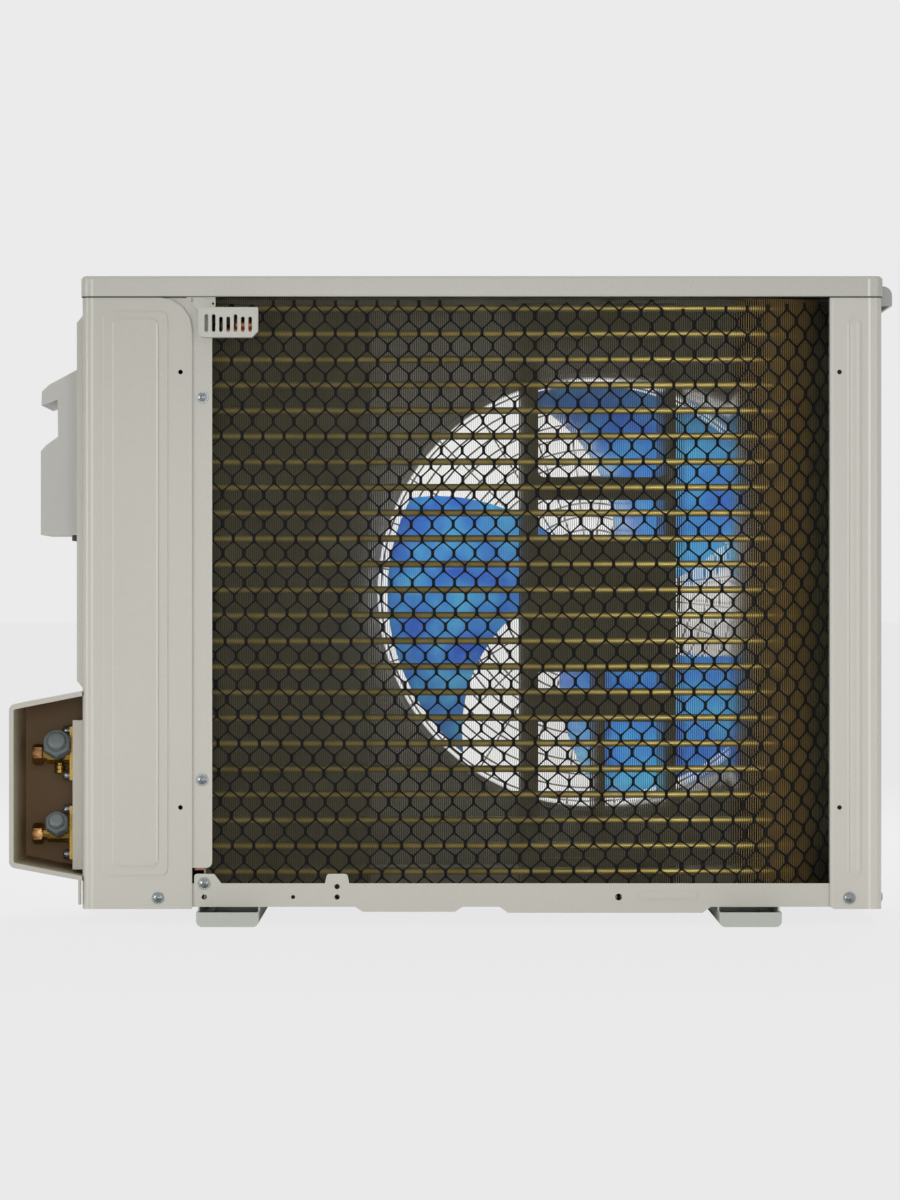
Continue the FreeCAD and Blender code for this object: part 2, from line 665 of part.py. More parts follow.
def row_of(body, feature, axis, pitch, count):
    """Repeat a feature along one of the body's own axes."""
    line = [item for item in body.Origin.OriginFeatures if item.Role == f"{axis.upper()}_Axis"][0]
    pattern = body.newObject("PartDesign::LinearPattern", f"{body.Name}_row")
    pattern.Originals = [feature]
    pattern.Direction = (line, [""])
    bind(pattern, "Length", pitch * (count - 1))
    bind(pattern, "Occurrences", count)
    body.Tip = pattern
    return pattern


# Plain solids for booleans


def box(x0, x1, y0, y1, z0, z1):
    item = doc.addObject("Part::Box", "block")
    bind(item, "Length", x1 - x0)
    bind(item, "Width", y1 - y0)
    bind(item, "Height", z1 - z0)
    place(item, x0, y0, z0)
    return item


def turn_to(item, axis):
    """Point an upright primitive along another axis."""
    if axis == "x":
        item.Placement.Rotation = FreeCAD.Rotation(FreeCAD.Vector(0, 1, 0), 90)
    if axis == "y":
        item.Placement.Rotation = FreeCAD.Rotation(FreeCAD.Vector(1, 0, 0), -90)


def cylinder(axis, x, y, z, radius, length):
    """A cylinder that starts at a point and runs along +axis."""
    item = doc.addObject("Part::Cylinder", "round_bar")
    bind(item, "Radius", radius)
    bind(item, "Height", length)
    turn_to(item, axis)
    place(item, x, y, z)
    return item


def flatted(axis, x, y, z, radius, length):
    """A small round piece, drawn with flats."""
    return prism(axis, x, y, z, radius, length, ROUND_FLATS)


def prism(axis, x, y, z, corner_radius, length, sides=HEXAGON):
    item = doc.addObject("Part::Prism", "flats")
    item.Polygon = int(sides)
    bind(item, "Circumradius", corner_radius)
    bind(item, "Height", length)
    turn_to(item, axis)
    place(item, x, y, z)
    return item


def fuse(label, pieces):
    item = doc.addObject("Part::MultiFuse", label)
    item.Shapes = pieces
    item.Refine = True
    return keep(item, label)


def cut(label, base, tool):
    item = doc.addObject("Part::Cut", label)
    item.Base = base
    item.Tool = tool
    item.Refine = True
    return keep(item, label)


def union(pieces):
    item = doc.addObject("Part::MultiFuse", "joined")
    item.Shapes = pieces
    return item


def group(label, pieces):
    """Separate solids of one kind that share a sub-part."""
    item = doc.addObject("Part::Compound", label)
    item.Links = pieces
    return keep(item, label)


def own_shape(label, shape):
    """A sub-part whose shape comes from surfaces worked out below."""
    item = doc.addObject("Part::Feature", label)
    item.Shape = shape
    item.Placement = FreeCAD.Placement()
    return keep(item, label)


# Casing


def base_pan():
    body = new_body("base_pan")
    left = LEFT + d.sheet + d.fit
    right = RIGHT - d.sheet - d.fit
    front = FRONT - d.sheet - d.fit
    wall = d.pan_wall
    pad(body, "z", d.floor_height, RIM_TOP, rectangle(left, PAN_REAR, right, front, d.pan_corner))
    channels = [
        (d.narrow_channel_left, d.narrow_channel_width, 0.0),
        (d.wide_channel_left, d.wide_channel_width, d.wide_channel_extra),
    ]
    for start, width, extra in channels:
        low = d.floor_height - d.channel_drop - extra
        outline = [
            (start, d.floor_height),
            (start + d.channel_slope, low),
            (start + width - d.channel_slope, low),
            (start + width, d.floor_height),
        ]
        pad(body, "y", PAN_REAR, front, outline)
    inner = clipped(left + wall, PAN_REAR + wall, right - wall, front - wall, d.pan_corner / 2)
    pocket(body, "z", FLOOR_TOP, RIM_TOP, inner)
    for start, width, extra in channels:
        low = FLOOR_TOP - d.channel_drop - extra
        outline = [
            (start + wall, FLOOR_TOP),
            (start + d.channel_slope, low),
            (start + width - d.channel_slope, low),
            (start + width - wall, FLOOR_TOP),
        ]
        pocket(body, "y", PAN_REAR + wall, front - wall, outline)
    tabs = [
        (d.corner_tab_left, ZERO, d.corner_tab_slant),
        (d.middle_tab_left, d.middle_tab_slant, d.middle_tab_slant),
    ]
    for start, slant_left, slant_right in tabs:
        end = start + d.tab_width
        tab = [
            (start - slant_left, RIM_TOP - wall),
            (end + slant_right, RIM_TOP - wall),
            (end, RIM_TOP + d.tab_rise, d.tab_corner),
            (start, RIM_TOP + d.tab_rise, d.tab_corner),
        ]
        pad(body, "y", PAN_REAR, PAN_REAR + wall, tab)
    row = RIM_TOP - d.rim_hole_drop
    middle = d.middle_tab_left + d.tab_width / 2
    rim_holes = [
        hole(d.corner_tab_left + d.tab_width / 2, row, d.tab_hole_radius),
        hole(middle, row, d.tab_hole_radius),
        hole(middle, RIM_TOP - d.tab_hole_drop, d.tab_hole_radius),
        hole(d.rim_hole_left, row, d.rim_hole_radius),
        hole(d.rim_port_left, row, d.rim_port_radius),
    ]
    pocket(body, "y", PAN_REAR, PAN_REAR + wall, *rim_holes)
    slot_z = d.floor_height + d.pan_rim / 2 - d.rim_slot_height / 2
    slot = rectangle(
        d.rim_slot_left, slot_z, d.rim_slot_left + d.rim_slot_length, slot_z + d.rim_slot_height
    )
    pad(body, "y", PAN_REAR - d.rim_slot_rise, PAN_REAR, slot)
    drain = Circle(d.wide_channel_left + d.wide_channel_width / 2, ZERO, d.drain_radius)
    middle = d.narrow_channel_left + d.narrow_channel_width / 2
    slots = []
    for share in (-0.25, 0.0, 0.25):
        y = d.casing_depth * share
        slots.append(
            rectangle(
                middle - d.drain_slot_length / 2,
                y - d.drain_slot_width / 2,
                middle + d.drain_slot_length / 2,
                y + d.drain_slot_width / 2,
            )
        )
    deep = d.floor_height - d.channel_drop * 2
    pocket(body, "z", deep, FLOOR_TOP, drain, *slots)


def foot_rail(label, x):
    """A channel open at the top, with both ends turned up and a bolt slot near each."""
    body = new_body(label)
    half = d.foot_width / 2
    wall = d.foot_wall
    height = d.floor_height
    end = d.foot_length / 2
    outer = [
        (x - half, height),
        (x - half, ZERO, d.foot_bend),
        (x + half, ZERO, d.foot_bend),
        (x + half, height),
    ]
    inner = [
        (x - half + wall, height),
        (x - half + wall, d.foot_bend),
        (x - half + d.foot_bend, wall),
        (x + half - d.foot_bend, wall),
        (x + half - wall, d.foot_bend),
        (x + half - wall, height),
    ]
    pad(body, "y", -end, end, outer)
    pocket(body, "y", -end + wall, end - wall, inner)
    for low, high in ((-end, PAN_REAR - d.seam), (FRONT - d.sheet - d.fit, end)):
        notch = rectangle(x - half, d.foot_lip, x + half, height + d.seam)
        pocket(body, "y", low, high, notch)
    slots = []
    for y in (d.bolt_inset - end, end - d.bolt_inset):
        slots.append(
            rectangle(
                x - d.bolt_slot_length / 2,
                y - d.bolt_slot_width / 2,
                x + d.bolt_slot_length / 2,
                y + d.bolt_slot_width / 2,
                d.bolt_slot_width * 0.49,
            )
        )
    pocket(body, "z", -wall, wall, *slots)


def top_cover():
    body = new_body("top_cover")
    wall = d.sheet
    out = COVER_OVERHANG
    outer = rectangle(LEFT - out, REAR - out, RIGHT + out, FRONT + out, d.bend_radius + out)
    pad(body, "z", SKIRT, TOP, outer)
    bevel_top(body, TOP, d.cover_chamfer)
    out = out - wall
    inner = clipped(LEFT - out, REAR - out, RIGHT + out, FRONT + out, d.bend_radius / 2)
    pocket(body, "z", SKIRT, TOP - d.cover_chamfer, inner)
    margin = d.cover_panel_margin
    field = clipped(LEFT + margin, REAR + margin, RIGHT - margin, FRONT - margin, margin / 4)
    pad(body, "z", TOP, TOP + d.cover_panel_rise, field)


def bevel_top(body, height, width):
    """Bevel the outer edge of the face at a height."""
    doc.recompute()
    level = number(height)
    base = body.Tip
    names = []
    for i, edge in enumerate(base.Shape.Edges, start=1):
        ends = (edge.BoundBox.ZMin, edge.BoundBox.ZMax)
        if all(abs(end - level) < LEVEL_TOLERANCE for end in ends):
            names.append(f"Edge{i}")
    bevel = body.newObject("PartDesign::Chamfer", f"{body.Name}_bevel")
    bevel.Base = (base, names)
    bind(bevel, "Size", width)
    body.Tip = bevel


def corner_sheet(side_x, inward, rear_y, leg_end, front_y, wall, bend):
    """Plan outline of a sheet that wraps one rear corner of the casing."""
    return [
        (side_x, front_y),
        (side_x, rear_y, bend),
        (leg_end, rear_y),
        (leg_end, rear_y + wall),
        (side_x + wall * inward, rear_y + wall, bend - wall),
        (side_x + wall * inward, front_y),
    ]


def collar(body, side_x, inward, leg_end, front_y):
    """Upper edge of a corner sheet, which goes on up behind the cover's skirt."""
    outline = corner_sheet(side_x, inward, REAR, leg_end, front_y, d.sheet, d.bend_radius)
    pad(body, "z", PANEL_TOP, COLLAR_TOP, outline)


def service_panel():
    """Left panel: it closes the compressor room and wraps round to the rear."""
    body = new_body("service_panel")
    wall = d.sheet
    front = FRONT - d.front_return - d.seam
    raised_end = LEFT + d.service_width - d.service_flange
    flange_end = LEFT + d.service_width
    pad(
        body,
        "z",
        PANEL_BOTTOM,
        PANEL_TOP,
        corner_sheet(LEFT, 1, REAR, raised_end, front, wall, d.bend_radius),
    )
    collar(body, LEFT, 1, raised_end - d.service_corner, front)
    corner = [
        (raised_end + d.fit, PANEL_TOP + d.fit),
        (raised_end - d.service_corner, PANEL_TOP + d.fit),
        (raised_end - d.service_corner * 0.62, PANEL_TOP - d.service_corner * 0.075),
        (raised_end - d.service_corner * 0.29, PANEL_TOP - d.service_corner * 0.29),
        (raised_end - d.service_corner * 0.075, PANEL_TOP - d.service_corner * 0.62),
        (raised_end + d.fit, PANEL_TOP - d.service_corner),
    ]
    pocket(body, "y", REAR - wall, REAR + wall, corner)
    recess = d.service_recess
    back = [
        (raised_end - d.service_corner, PANEL_TOP - d.service_corner),
        (raised_end - wall, PANEL_TOP - d.service_corner),
        (raised_end - wall, d.service_flange_end),
        (flange_end, d.service_flange_end, d.service_flange_corner),
        (flange_end, PANEL_TOP),
        (raised_end - d.service_corner, PANEL_TOP),
    ]
    pad(body, "y", REAR + recess, REAR + recess + wall, back)
    step = rectangle(raised_end - wall, d.service_flange_end, raised_end, PANEL_TOP - d.service_corner)
    pad(body, "y", REAR, REAR + recess + wall, step)
    rib_right = LEFT + d.rib_left + d.rib_width
    wide = rectangle(LEFT + d.rib_left, d.rib_bottom, rib_right, RIB_TOP, d.rib_corner)
    narrow = rectangle(
        LEFT + d.rib_left + d.rib_step,
        d.rib_bottom + d.rib_step,
        rib_right - d.rib_step,
        RIB_TOP - d.rib_step * 0.75,
        d.rib_corner,
    )
    pad(body, "y", REAR - d.rib_rise, REAR, wide)
    pad(body, "y", REAR - d.rib_rise * 2, REAR - d.rib_rise, narrow)
    pocket(body, "y", REAR, REAR + wall, *small_holes(raised_end - d.service_hole_inset))
    raised_side_field(body)
    half = d.gas_body_radius + d.valve_flange
    passage = rectangle(
        d.valve_y - half, d.liquid_valve_z - half, d.valve_y + half, d.gas_valve_z + half
    )
    pocket(body, "x", LEFT, LEFT + wall, passage)
    entry_rear = REAR + d.terminal_rear + d.terminal_wall * 4 + d.block_depth + d.block_reach
    entry_low = TERMINAL_LOW + d.terminal_wall * 4
    entry = rectangle(
        entry_rear, entry_low, entry_rear + d.block_depth, entry_low + d.block_height
    )
    pocket(body, "x", LEFT - d.side_field_rise, LEFT + wall, entry)


def small_holes(x):
    """The two small holes in a rear leg of the casing."""
    heights = (SKIRT - d.panel_hole_drop, d.panel_hole_low)
    return [hole(x, z, d.panel_hole_radius) for z in heights]


def raised_side_field(body):
    """Pressed field on the service panel's side, with a sloping border and an open back."""
    rear = REAR + d.side_field_rear
    front = rear + d.side_field_depth
    slope = d.side_field_slope
    top = SKIRT - d.side_field_drop
    outer = [
        (LEFT, d.side_field_bottom),
        (LEFT, top),
        (LEFT - d.side_field_rise, top - slope),
        (LEFT - d.side_field_rise, d.side_field_bottom + slope),
    ]
    pad(body, "y", rear, front, outer)
    wall = d.sheet
    inner = [
        (LEFT + wall, d.side_field_bottom + wall),
        (LEFT + wall, top - wall),
        (LEFT, top - wall),
        (LEFT - d.side_field_rise + wall, top - slope),
        (LEFT - d.side_field_rise + wall, d.side_field_bottom + slope),
        (LEFT, d.side_field_bottom + wall),
    ]
    pocket(body, "y", rear + wall, front - wall, inner)


def coil_side_panel():
    """Right panel: rear post with its rib, and the side with its air openings."""
    body = new_body("coil_side_panel")
    front = FRONT - d.front_return - d.seam
    post = RIGHT - d.post_width
    wall = d.sheet
    pad(
        body,
        "z",
        PANEL_BOTTOM,
        PANEL_TOP,
        corner_sheet(RIGHT, -1, REAR, post, front, wall, d.bend_radius),
    )
    collar(body, RIGHT, -1, post, front)
    rib = rectangle(
        post + d.post_rib_offset,
        d.rib_bottom,
        post + d.post_rib_offset + d.post_rib_width,
        RIB_TOP - d.rib_step * 0.75,
        d.post_rib_width * 0.45,
    )
    pad(body, "y", REAR - d.rib_rise, REAR, rib)
    corner = rounded_off(post, PANEL_BOTTOM, 1, 1, d.post_corner, d.fit)
    pocket(body, "y", REAR, REAR + wall, corner, *small_holes(post + d.post_hole_inset))
    lip = rectangle(post, RIM_TOP + d.seam, post + wall, PANEL_TOP)
    pad(body, "y", REAR, COIL_REAR - d.fit, lip)
    windows = []
    for column in range(2):
        y = REAR + d.side_window_rear + d.side_window_step * column
        windows.append(
            rectangle(
                y,
                d.side_window_bottom,
                y + d.side_window_width,
                d.side_window_bottom + d.side_window_height,
            )
        )
    opening = pocket(body, "x", RIGHT - wall, RIGHT, *windows)
    highest = SKIRT - d.side_window_drop - d.side_window_height
    pitch = (highest - d.side_window_bottom) / (d.side_window_rows - 1)
    row_of(body, opening, "z", pitch, d.side_window_rows)


def front_panel():
    body = new_body("front_panel")
    wall = d.sheet
    back = FRONT - d.front_return
    outline = [
        (LEFT, back),
        (LEFT + wall, back),
        (LEFT + wall, FRONT - wall, d.bend_radius - wall),
        (RIGHT - wall, FRONT - wall, d.bend_radius - wall),
        (RIGHT - wall, back),
        (RIGHT, back),
        (RIGHT, FRONT, d.bend_radius),
        (LEFT, FRONT, d.bend_radius),
    ]
    pad(body, "z", PANEL_BOTTOM, PANEL_TOP, outline)
    inside = d.bend_radius + wall
    upper = rectangle(LEFT + inside, PANEL_TOP, RIGHT - inside, COLLAR_TOP)
    pad(body, "y", FRONT - wall, FRONT, upper)
    lip = Circle(d.fan_x, FAN_Z, d.orifice_radius + wall)
    pad(body, "y", FRONT - d.orifice_depth, FRONT - wall, lip)
    pocket(body, "y", FRONT - d.orifice_depth, FRONT, Circle(d.fan_x, FAN_Z, d.orifice_radius))
    field_left = LEFT + d.front_field_margin
    field = clipped(
        field_left,
        d.rib_bottom,
        field_left + d.front_field_width,
        RIB_TOP,
        d.front_field_margin / 2,
    )
    pad(body, "y", FRONT, FRONT + d.front_field_rise, field)


def partition_plate():
    """Wall between the compressor room and the fan room, slanted in plan."""
    body = new_body("partition_plate")
    wall = d.sheet
    rear_x = d.coil_left
    near = REAR + d.partition_near
    far = REAR + d.partition_far
    front = FRONT - d.front_return
    outline = [
        (rear_x, COIL_FRONT + d.fit),
        (rear_x + wall, COIL_FRONT + d.fit),
        (rear_x + wall, near),
        (d.partition_front_x + wall, far),
        (d.partition_front_x + wall, front),
        (d.partition_front_x, front),
        (d.partition_front_x, far + wall / 2),
        (rear_x, near + wall / 2),
    ]
    pad(body, "z", FLOOR_TOP, SKIRT, outline)


# Fan guard


def guard_profile():
    """Radius and height of the guard wires: flat in the middle, sloping to the rim."""
    rim = number(d.orifice_radius + d.guard_overlap)
    shoulder = number(d.orifice_radius) * GUARD_SHOULDER_SHARE
    face = number(FRONT + d.guard_rise)
    seat = number(FRONT + d.guard_wire * 2)
    return rim, shoulder, face, seat


def fan_guard():
    """Flat face of the guard: radial wires, ring wires and a disc in the middle."""
    wire = number(d.guard_wire)
    spokes = int(number(d.guard_spokes))
    rings = int(number(d.guard_rings))
    hub = number(d.guard_hub)
    centre = FreeCAD.Vector(number(d.fan_x), 0, number(FAN_Z))
    rim, shoulder, face, seat = guard_profile()
    end = shoulder / math.cos(math.pi / spokes)
    solids = []
    for i in range(rings):
        radius = hub + (shoulder - hub) * (i + 1) / rings
        solids.append(guard_ring(centre, radius, face - wire * 2, wire, spokes))
    for i in range(spokes):
        side = [(hub, face), (end, face), (end, face - wire), (hub, face - wire)]
        solids.append(guard_spoke(centre, side, 360.0 * i / spokes, wire))
    disc = guard_face(centre, hub, face + wire, spokes)
    solids.append(disc.extrude(FreeCAD.Vector(0, -2 * wire, 0)))
    own_shape("fan_guard", Part.makeCompound(solids))


def guard_rim():
    """Sloping border of the guard: a ring on the front panel and struts up to the flat face."""
    wire = number(d.guard_wire)
    spokes = int(number(d.guard_spokes))
    centre = FreeCAD.Vector(number(d.fan_x), 0, number(FAN_Z))
    rim, shoulder, face, seat = guard_profile()
    start = shoulder / math.cos(math.pi / spokes)
    end = rim / math.cos(math.pi / spokes)
    side = [
        (start, face),
        (rim - wire, seat),
        (end, seat),
        (end, seat - wire),
        (rim - wire, seat - wire),
        (start, face - wire),
    ]
    ring = guard_ring(centre, rim, seat - wire * 2, wire, spokes)
    struts = [guard_spoke(centre, side, 360.0 * i / spokes, wire) for i in range(spokes)]
    own_shape("guard_rim", ring.fuse(struts).removeSplitter())


def guard_face(centre, radius, y, sides):
    """A disc with flats, square to the fan axis."""
    corner = radius / math.cos(math.pi / sides)
    points = []
    for x, z in regular(sides, corner):
        points.append(centre + FreeCAD.Vector(x, y, z))
    return Part.Face(Part.makePolygon(points + points[:1]))


def guard_ring(centre, radius, y, wire, sides):
    """One ring wire, bent in short flats between the spokes, from its rear face on."""
    outer = guard_face(centre, radius, y, sides)
    inner = guard_face(centre, radius - wire, y, sides)
    return outer.cut(inner).Faces[0].extrude(FreeCAD.Vector(0, wire, 0))


def guard_spoke(centre, side, angle, wire):
    """A radial wire from its (radius, height) corners seen from the side."""
    half = wire / 2
    points = [FreeCAD.Vector(r, y, -half) for r, y in side]
    points.append(points[0])
    spoke = Part.Face(Part.makePolygon(points)).extrude(FreeCAD.Vector(0, 0, wire))
    spoke.rotate(FreeCAD.Vector(0, 0, 0), FreeCAD.Vector(0, -1, 0), angle)
    spoke.translate(centre)
    return spoke


# Coil


def coil_core():
    """Fin block of the condenser coil, bent round the rear right corner of the casing."""
    body = new_body("coil_core")
    inner_bend = d.coil_bend - d.coil_thickness
    front = FRONT - d.coil_front_gap - d.end_plate - d.bend_reach
    outline = [
        (d.coil_left, COIL_REAR),
        (COIL_RIGHT, COIL_REAR, d.coil_bend),
        (COIL_RIGHT, front),
        (COIL_RIGHT - d.coil_thickness, front),
        (COIL_RIGHT - d.coil_thickness, COIL_FRONT, inner_bend),
        (d.coil_left, COIL_FRONT),
    ]
    pad(body, "z", FLOOR_TOP, COIL_TOP, outline)
    bottom = COIL_RIGHT - d.fin_groove_depth
    rest = []
    for share in SIDE_GROOVES:
        y = COIL_BEND_Y + d.fin_groove_pitch * share
        rest.append(rectangle(bottom, y, COIL_RIGHT, y + d.fin_groove_width))
    rest += [bend_groove(angle) for angle in BEND_GROOVES]
    pocket(body, "z", FLOOR_TOP, COIL_TOP, *rest)
    x = d.coil_left + d.fin_groove_pitch
    groove = rectangle(x, COIL_REAR, x + d.fin_groove_width, COIL_REAR + d.fin_groove_depth)
    first = pocket(body, "z", FLOOR_TOP, COIL_TOP, groove)
    straight = number(COIL_BEND_X - d.coil_left - d.fin_groove_width)
    count = int(straight / number(d.fin_groove_pitch))
    row_of(body, first, "x", d.fin_groove_pitch, Size(count, str(count)))


def bend_groove(angle):
    """Plan outline of a groove that points to the middle of the coil's bend."""
    cosine = math.cos(math.radians(angle))
    sine = math.sin(math.radians(angle))
    half = d.fin_groove_width / 2
    corners = []
    for reach, side in (
        (d.coil_bend - d.fin_groove_depth, -1),
        (d.coil_bend + d.fit, -1),
        (d.coil_bend + d.fit, 1),
        (d.coil_bend - d.fin_groove_depth, 1),
    ):
        x = COIL_BEND_X + reach * sine + half * (cosine * side)
        corners.append((x, COIL_BEND_Y - reach * cosine + half * (sine * side)))
    return corners


def coil_end_plates():
    front = FRONT - d.coil_front_gap - d.bend_reach
    lip = d.end_plate_lip
    left = d.coil_left
    side = COIL_RIGHT - d.coil_thickness
    plate = box(left - d.end_plate, left, COIL_REAR, COIL_FRONT + lip, FLOOR_TOP, COIL_TOP)
    keep(plate, "coil_end_plate_left")
    plate = box(side - lip, COIL_RIGHT, front - d.end_plate, front, FLOOR_TOP, COIL_TOP)
    keep(plate, "coil_end_plate_front")


def return_bends():
    """Squared tubes that join neighbouring coil tubes at both ends of the coil."""
    count = int(number(d.tube_count))
    front = FRONT - d.coil_front_gap - d.bend_reach
    middle_y = COIL_REAR + d.coil_thickness / 2
    middle_x = COIL_RIGHT - d.coil_thickness / 2
    solids = []
    for i in range(1, count - 1, 2):
        start = FreeCAD.Vector(number(d.coil_left - d.end_plate), number(middle_y), tube_height(i))
        solids.append(return_bend(start, FreeCAD.Vector(-1, 0, 0), FreeCAD.Vector(0, 1, 0)))
    for i in range(0, count, 2):
        start = FreeCAD.Vector(number(middle_x), number(front), tube_height(i))
        solids.append(return_bend(start, FreeCAD.Vector(0, 1, 0), FreeCAD.Vector(1, 0, 0)))
    own_shape("coil_return_bends", Part.makeCompound(solids))


def tube_height(index):
    return number(FLOOR_TOP) + number(TUBE_PITCH) * (index + 0.5)


def return_bend(start, outward, across):
    """One U between two tubes, as a bar with bevelled corners."""
    pitch = number(TUBE_PITCH)
    size = number(d.tube_size)
    reach = number(d.bend_reach) - size / 2
    up = FreeCAD.Vector(0, 0, 1)
    bevel = reach * 0.5
    outer = [
        (0, -size / 2),
        (reach + size / 2 - bevel, -size / 2),
        (reach + size / 2, bevel - size / 2),
        (reach + size / 2, pitch + size / 2 - bevel),
        (reach + size / 2 - bevel, pitch + size / 2),
        (0, pitch + size / 2),
        (0, pitch - size / 2),
        (reach - size / 2, pitch - size / 2),
        (reach - size / 2, size / 2),
        (0, size / 2),
    ]
    points = [start - across * (size / 2) + outward * along + up * rise for along, rise in outer]
    points.append(points[0])
    return Part.Face(Part.makePolygon(points)).extrude(across * size)


def coil_net():
    """Guard net over the coil, with coarse cells in staggered rows."""
    body = new_body("coil_net")
    y_far = COIL_REAR - d.fit
    y_near = y_far - d.net_thickness
    left = LEFT + d.service_width - d.service_flange
    width = d.net_cell * (d.net_columns + 0.5) + d.net_strand * 2
    bottom = FLOOR_TOP
    row_pitch = (COIL_TOP - bottom) / (d.net_rows * 2 + 1 - NET_SIDE_SHARE * 2)
    side = row_pitch * NET_SIDE_SHARE
    pad(body, "y", y_near, y_far, rectangle(left, bottom, left + width, COIL_TOP))
    half = (d.net_cell - d.net_strand) / 2
    rise = (row_pitch - side - d.net_strand) * 2
    cells = []
    for row in range(2):
        x = left + d.net_strand + d.net_cell * (0.5 + 0.5 * row)
        z = bottom + d.net_strand + row_pitch * row
        cells.append(
            [
                (x, z),
                (x + half, z + rise / 2 - side),
                (x + half, z + rise / 2 + side),
                (x, z + rise),
                (x - half, z + rise / 2 + side),
                (x - half, z + rise / 2 - side),
            ]
        )
    opening = pocket(body, "y", y_near, y_far, *cells)
    grid = body.newObject("PartDesign::MultiTransform", "net_grid")
    grid.Originals = [opening]
    steps = []
    columns = ("X", d.net_cell, d.net_columns)
    rows = ("Z", row_pitch * 2, d.net_rows)
    for axis, pitch, count in (columns, rows):
        line = [item for item in body.Origin.OriginFeatures if item.Role == f"{axis}_Axis"][0]
        step = body.newObject("PartDesign::LinearPattern", f"net_{axis}")
        step.Direction = (line, [""])
        bind(step, "Length", pitch * (count - 1))
        bind(step, "Occurrences", count)
        steps.append(step)
    grid.Transformations = steps
    body.Tip = grid


# Fan and motor


def motor_bracket():
    body = new_body("motor_bracket")
    near = d.bracket_y
    far = near + d.bracket_sheet
    left = d.fan_x - d.bracket_width / 2
    right = d.fan_x + d.bracket_width / 2
    inner_left = left + d.bracket_post
    inner_right = right - d.bracket_post
    radius = d.bracket_window_radius
    pad(body, "y", near, far, rectangle(left, WIDE_CHANNEL_FLOOR, right, SKIRT))
    mid_left = d.fan_x - d.bracket_mid_post / 2
    mid_right = d.fan_x + d.bracket_mid_post / 2
    lower = FAN_Z - d.bracket_lower_band
    upper = SKIRT - d.bracket_window_drop
    windows = [
        rectangle(inner_left, FAN_Z + d.bracket_band_high, inner_right, upper, radius),
        rectangle(
            inner_left,
            FAN_Z + d.mount_plate_height / 2 + d.bracket_sheet,
            inner_right,
            FAN_Z + d.bracket_band_low,
        ),
        rectangle(inner_left, FAN_Z - d.bracket_slot_low, mid_left, FAN_Z - d.bracket_slot_high),
        rectangle(mid_right, FAN_Z - d.bracket_slot_low, inner_right, FAN_Z - d.bracket_slot_high),
        rectangle(inner_left, d.bracket_window_bottom, mid_left, lower),
        rectangle(mid_right, d.bracket_window_bottom, inner_right, lower),
    ]
    pocket(body, "y", near, far, *windows)
    flange_front = far + d.bracket_flange
    flanges = [
        rectangle(left, far, left + d.bracket_sheet, flange_front),
        rectangle(right - d.bracket_sheet, far, right, flange_front),
    ]
    pad(body, "z", WIDE_CHANNEL_FLOOR, SKIRT, *flanges)


def fan_motor():
    keep(
        box(
            d.fan_x - d.bracket_width / 2,
            d.fan_x + d.bracket_width / 2,
            d.bracket_y - d.mount_plate_thickness,
            d.bracket_y,
            FAN_Z - d.mount_plate_height / 2,
            FAN_Z + d.mount_plate_height / 2,
        ),
        "motor_mount_plate",
    )
    length = d.motor_length
    bore = d.shaft_radius + d.shaft_clearance
    profile = [
        (ZERO, ZERO),
        (ZERO, d.motor_radius),
        (length, d.motor_radius),
        (length, bore),
        (length - d.shaft_entry - d.seam, bore),
        (length - d.shaft_entry - d.seam, ZERO),
    ]
    turned("fan_motor", "y", profile, d.fan_x, d.bracket_y + d.bracket_sheet, FAN_Z)


def motor_shaft():
    start = MOTOR_FRONT - d.shaft_entry
    shaft = cylinder("y", d.fan_x, start, FAN_Z, d.shaft_radius, d.shaft_entry + d.shaft_length)
    keep(shaft, "motor_shaft")


def fan_nut():
    nut = prism("y", d.fan_x, HUB_FRONT, FAN_Z, d.nut_radius, d.nut_height)
    bore = round_hole(d.shaft_radius)
    thread = flatted("y", d.fan_x, HUB_FRONT, FAN_Z, bore, d.nut_height)
    cut("fan_nut", nut, thread)


def blade_direction(angle):
    return FreeCAD.Vector(math.cos(math.radians(angle)), 0, math.sin(math.radians(angle)))


def blade_outline():
    """The blade's outline seen along the shaft: four arcs."""
    root = number(d.hub_radius - d.hub_wall / 2)
    tip = number(d.blade_tip)
    radii = (root, (root + tip) / 2, tip)
    arcs = []
    for angles in (BLADE_TRAILING, BLADE_LEADING):
        arcs.append([blade_direction(angle) * radius for angle, radius in zip(angles, radii)])
    for end, radius in ((0, root), (-1, tip)):
        start = BLADE_TRAILING[end]
        stop = BLADE_LEADING[end]
        angles = (start, (start + stop) / 2, stop)
        arcs.append([blade_direction(angle) * radius for angle in angles])
    edges = [Part.Arc(*points).toShape() for points in arcs]
    return Part.Face(Part.Wire(Part.__sortEdges__(edges)))


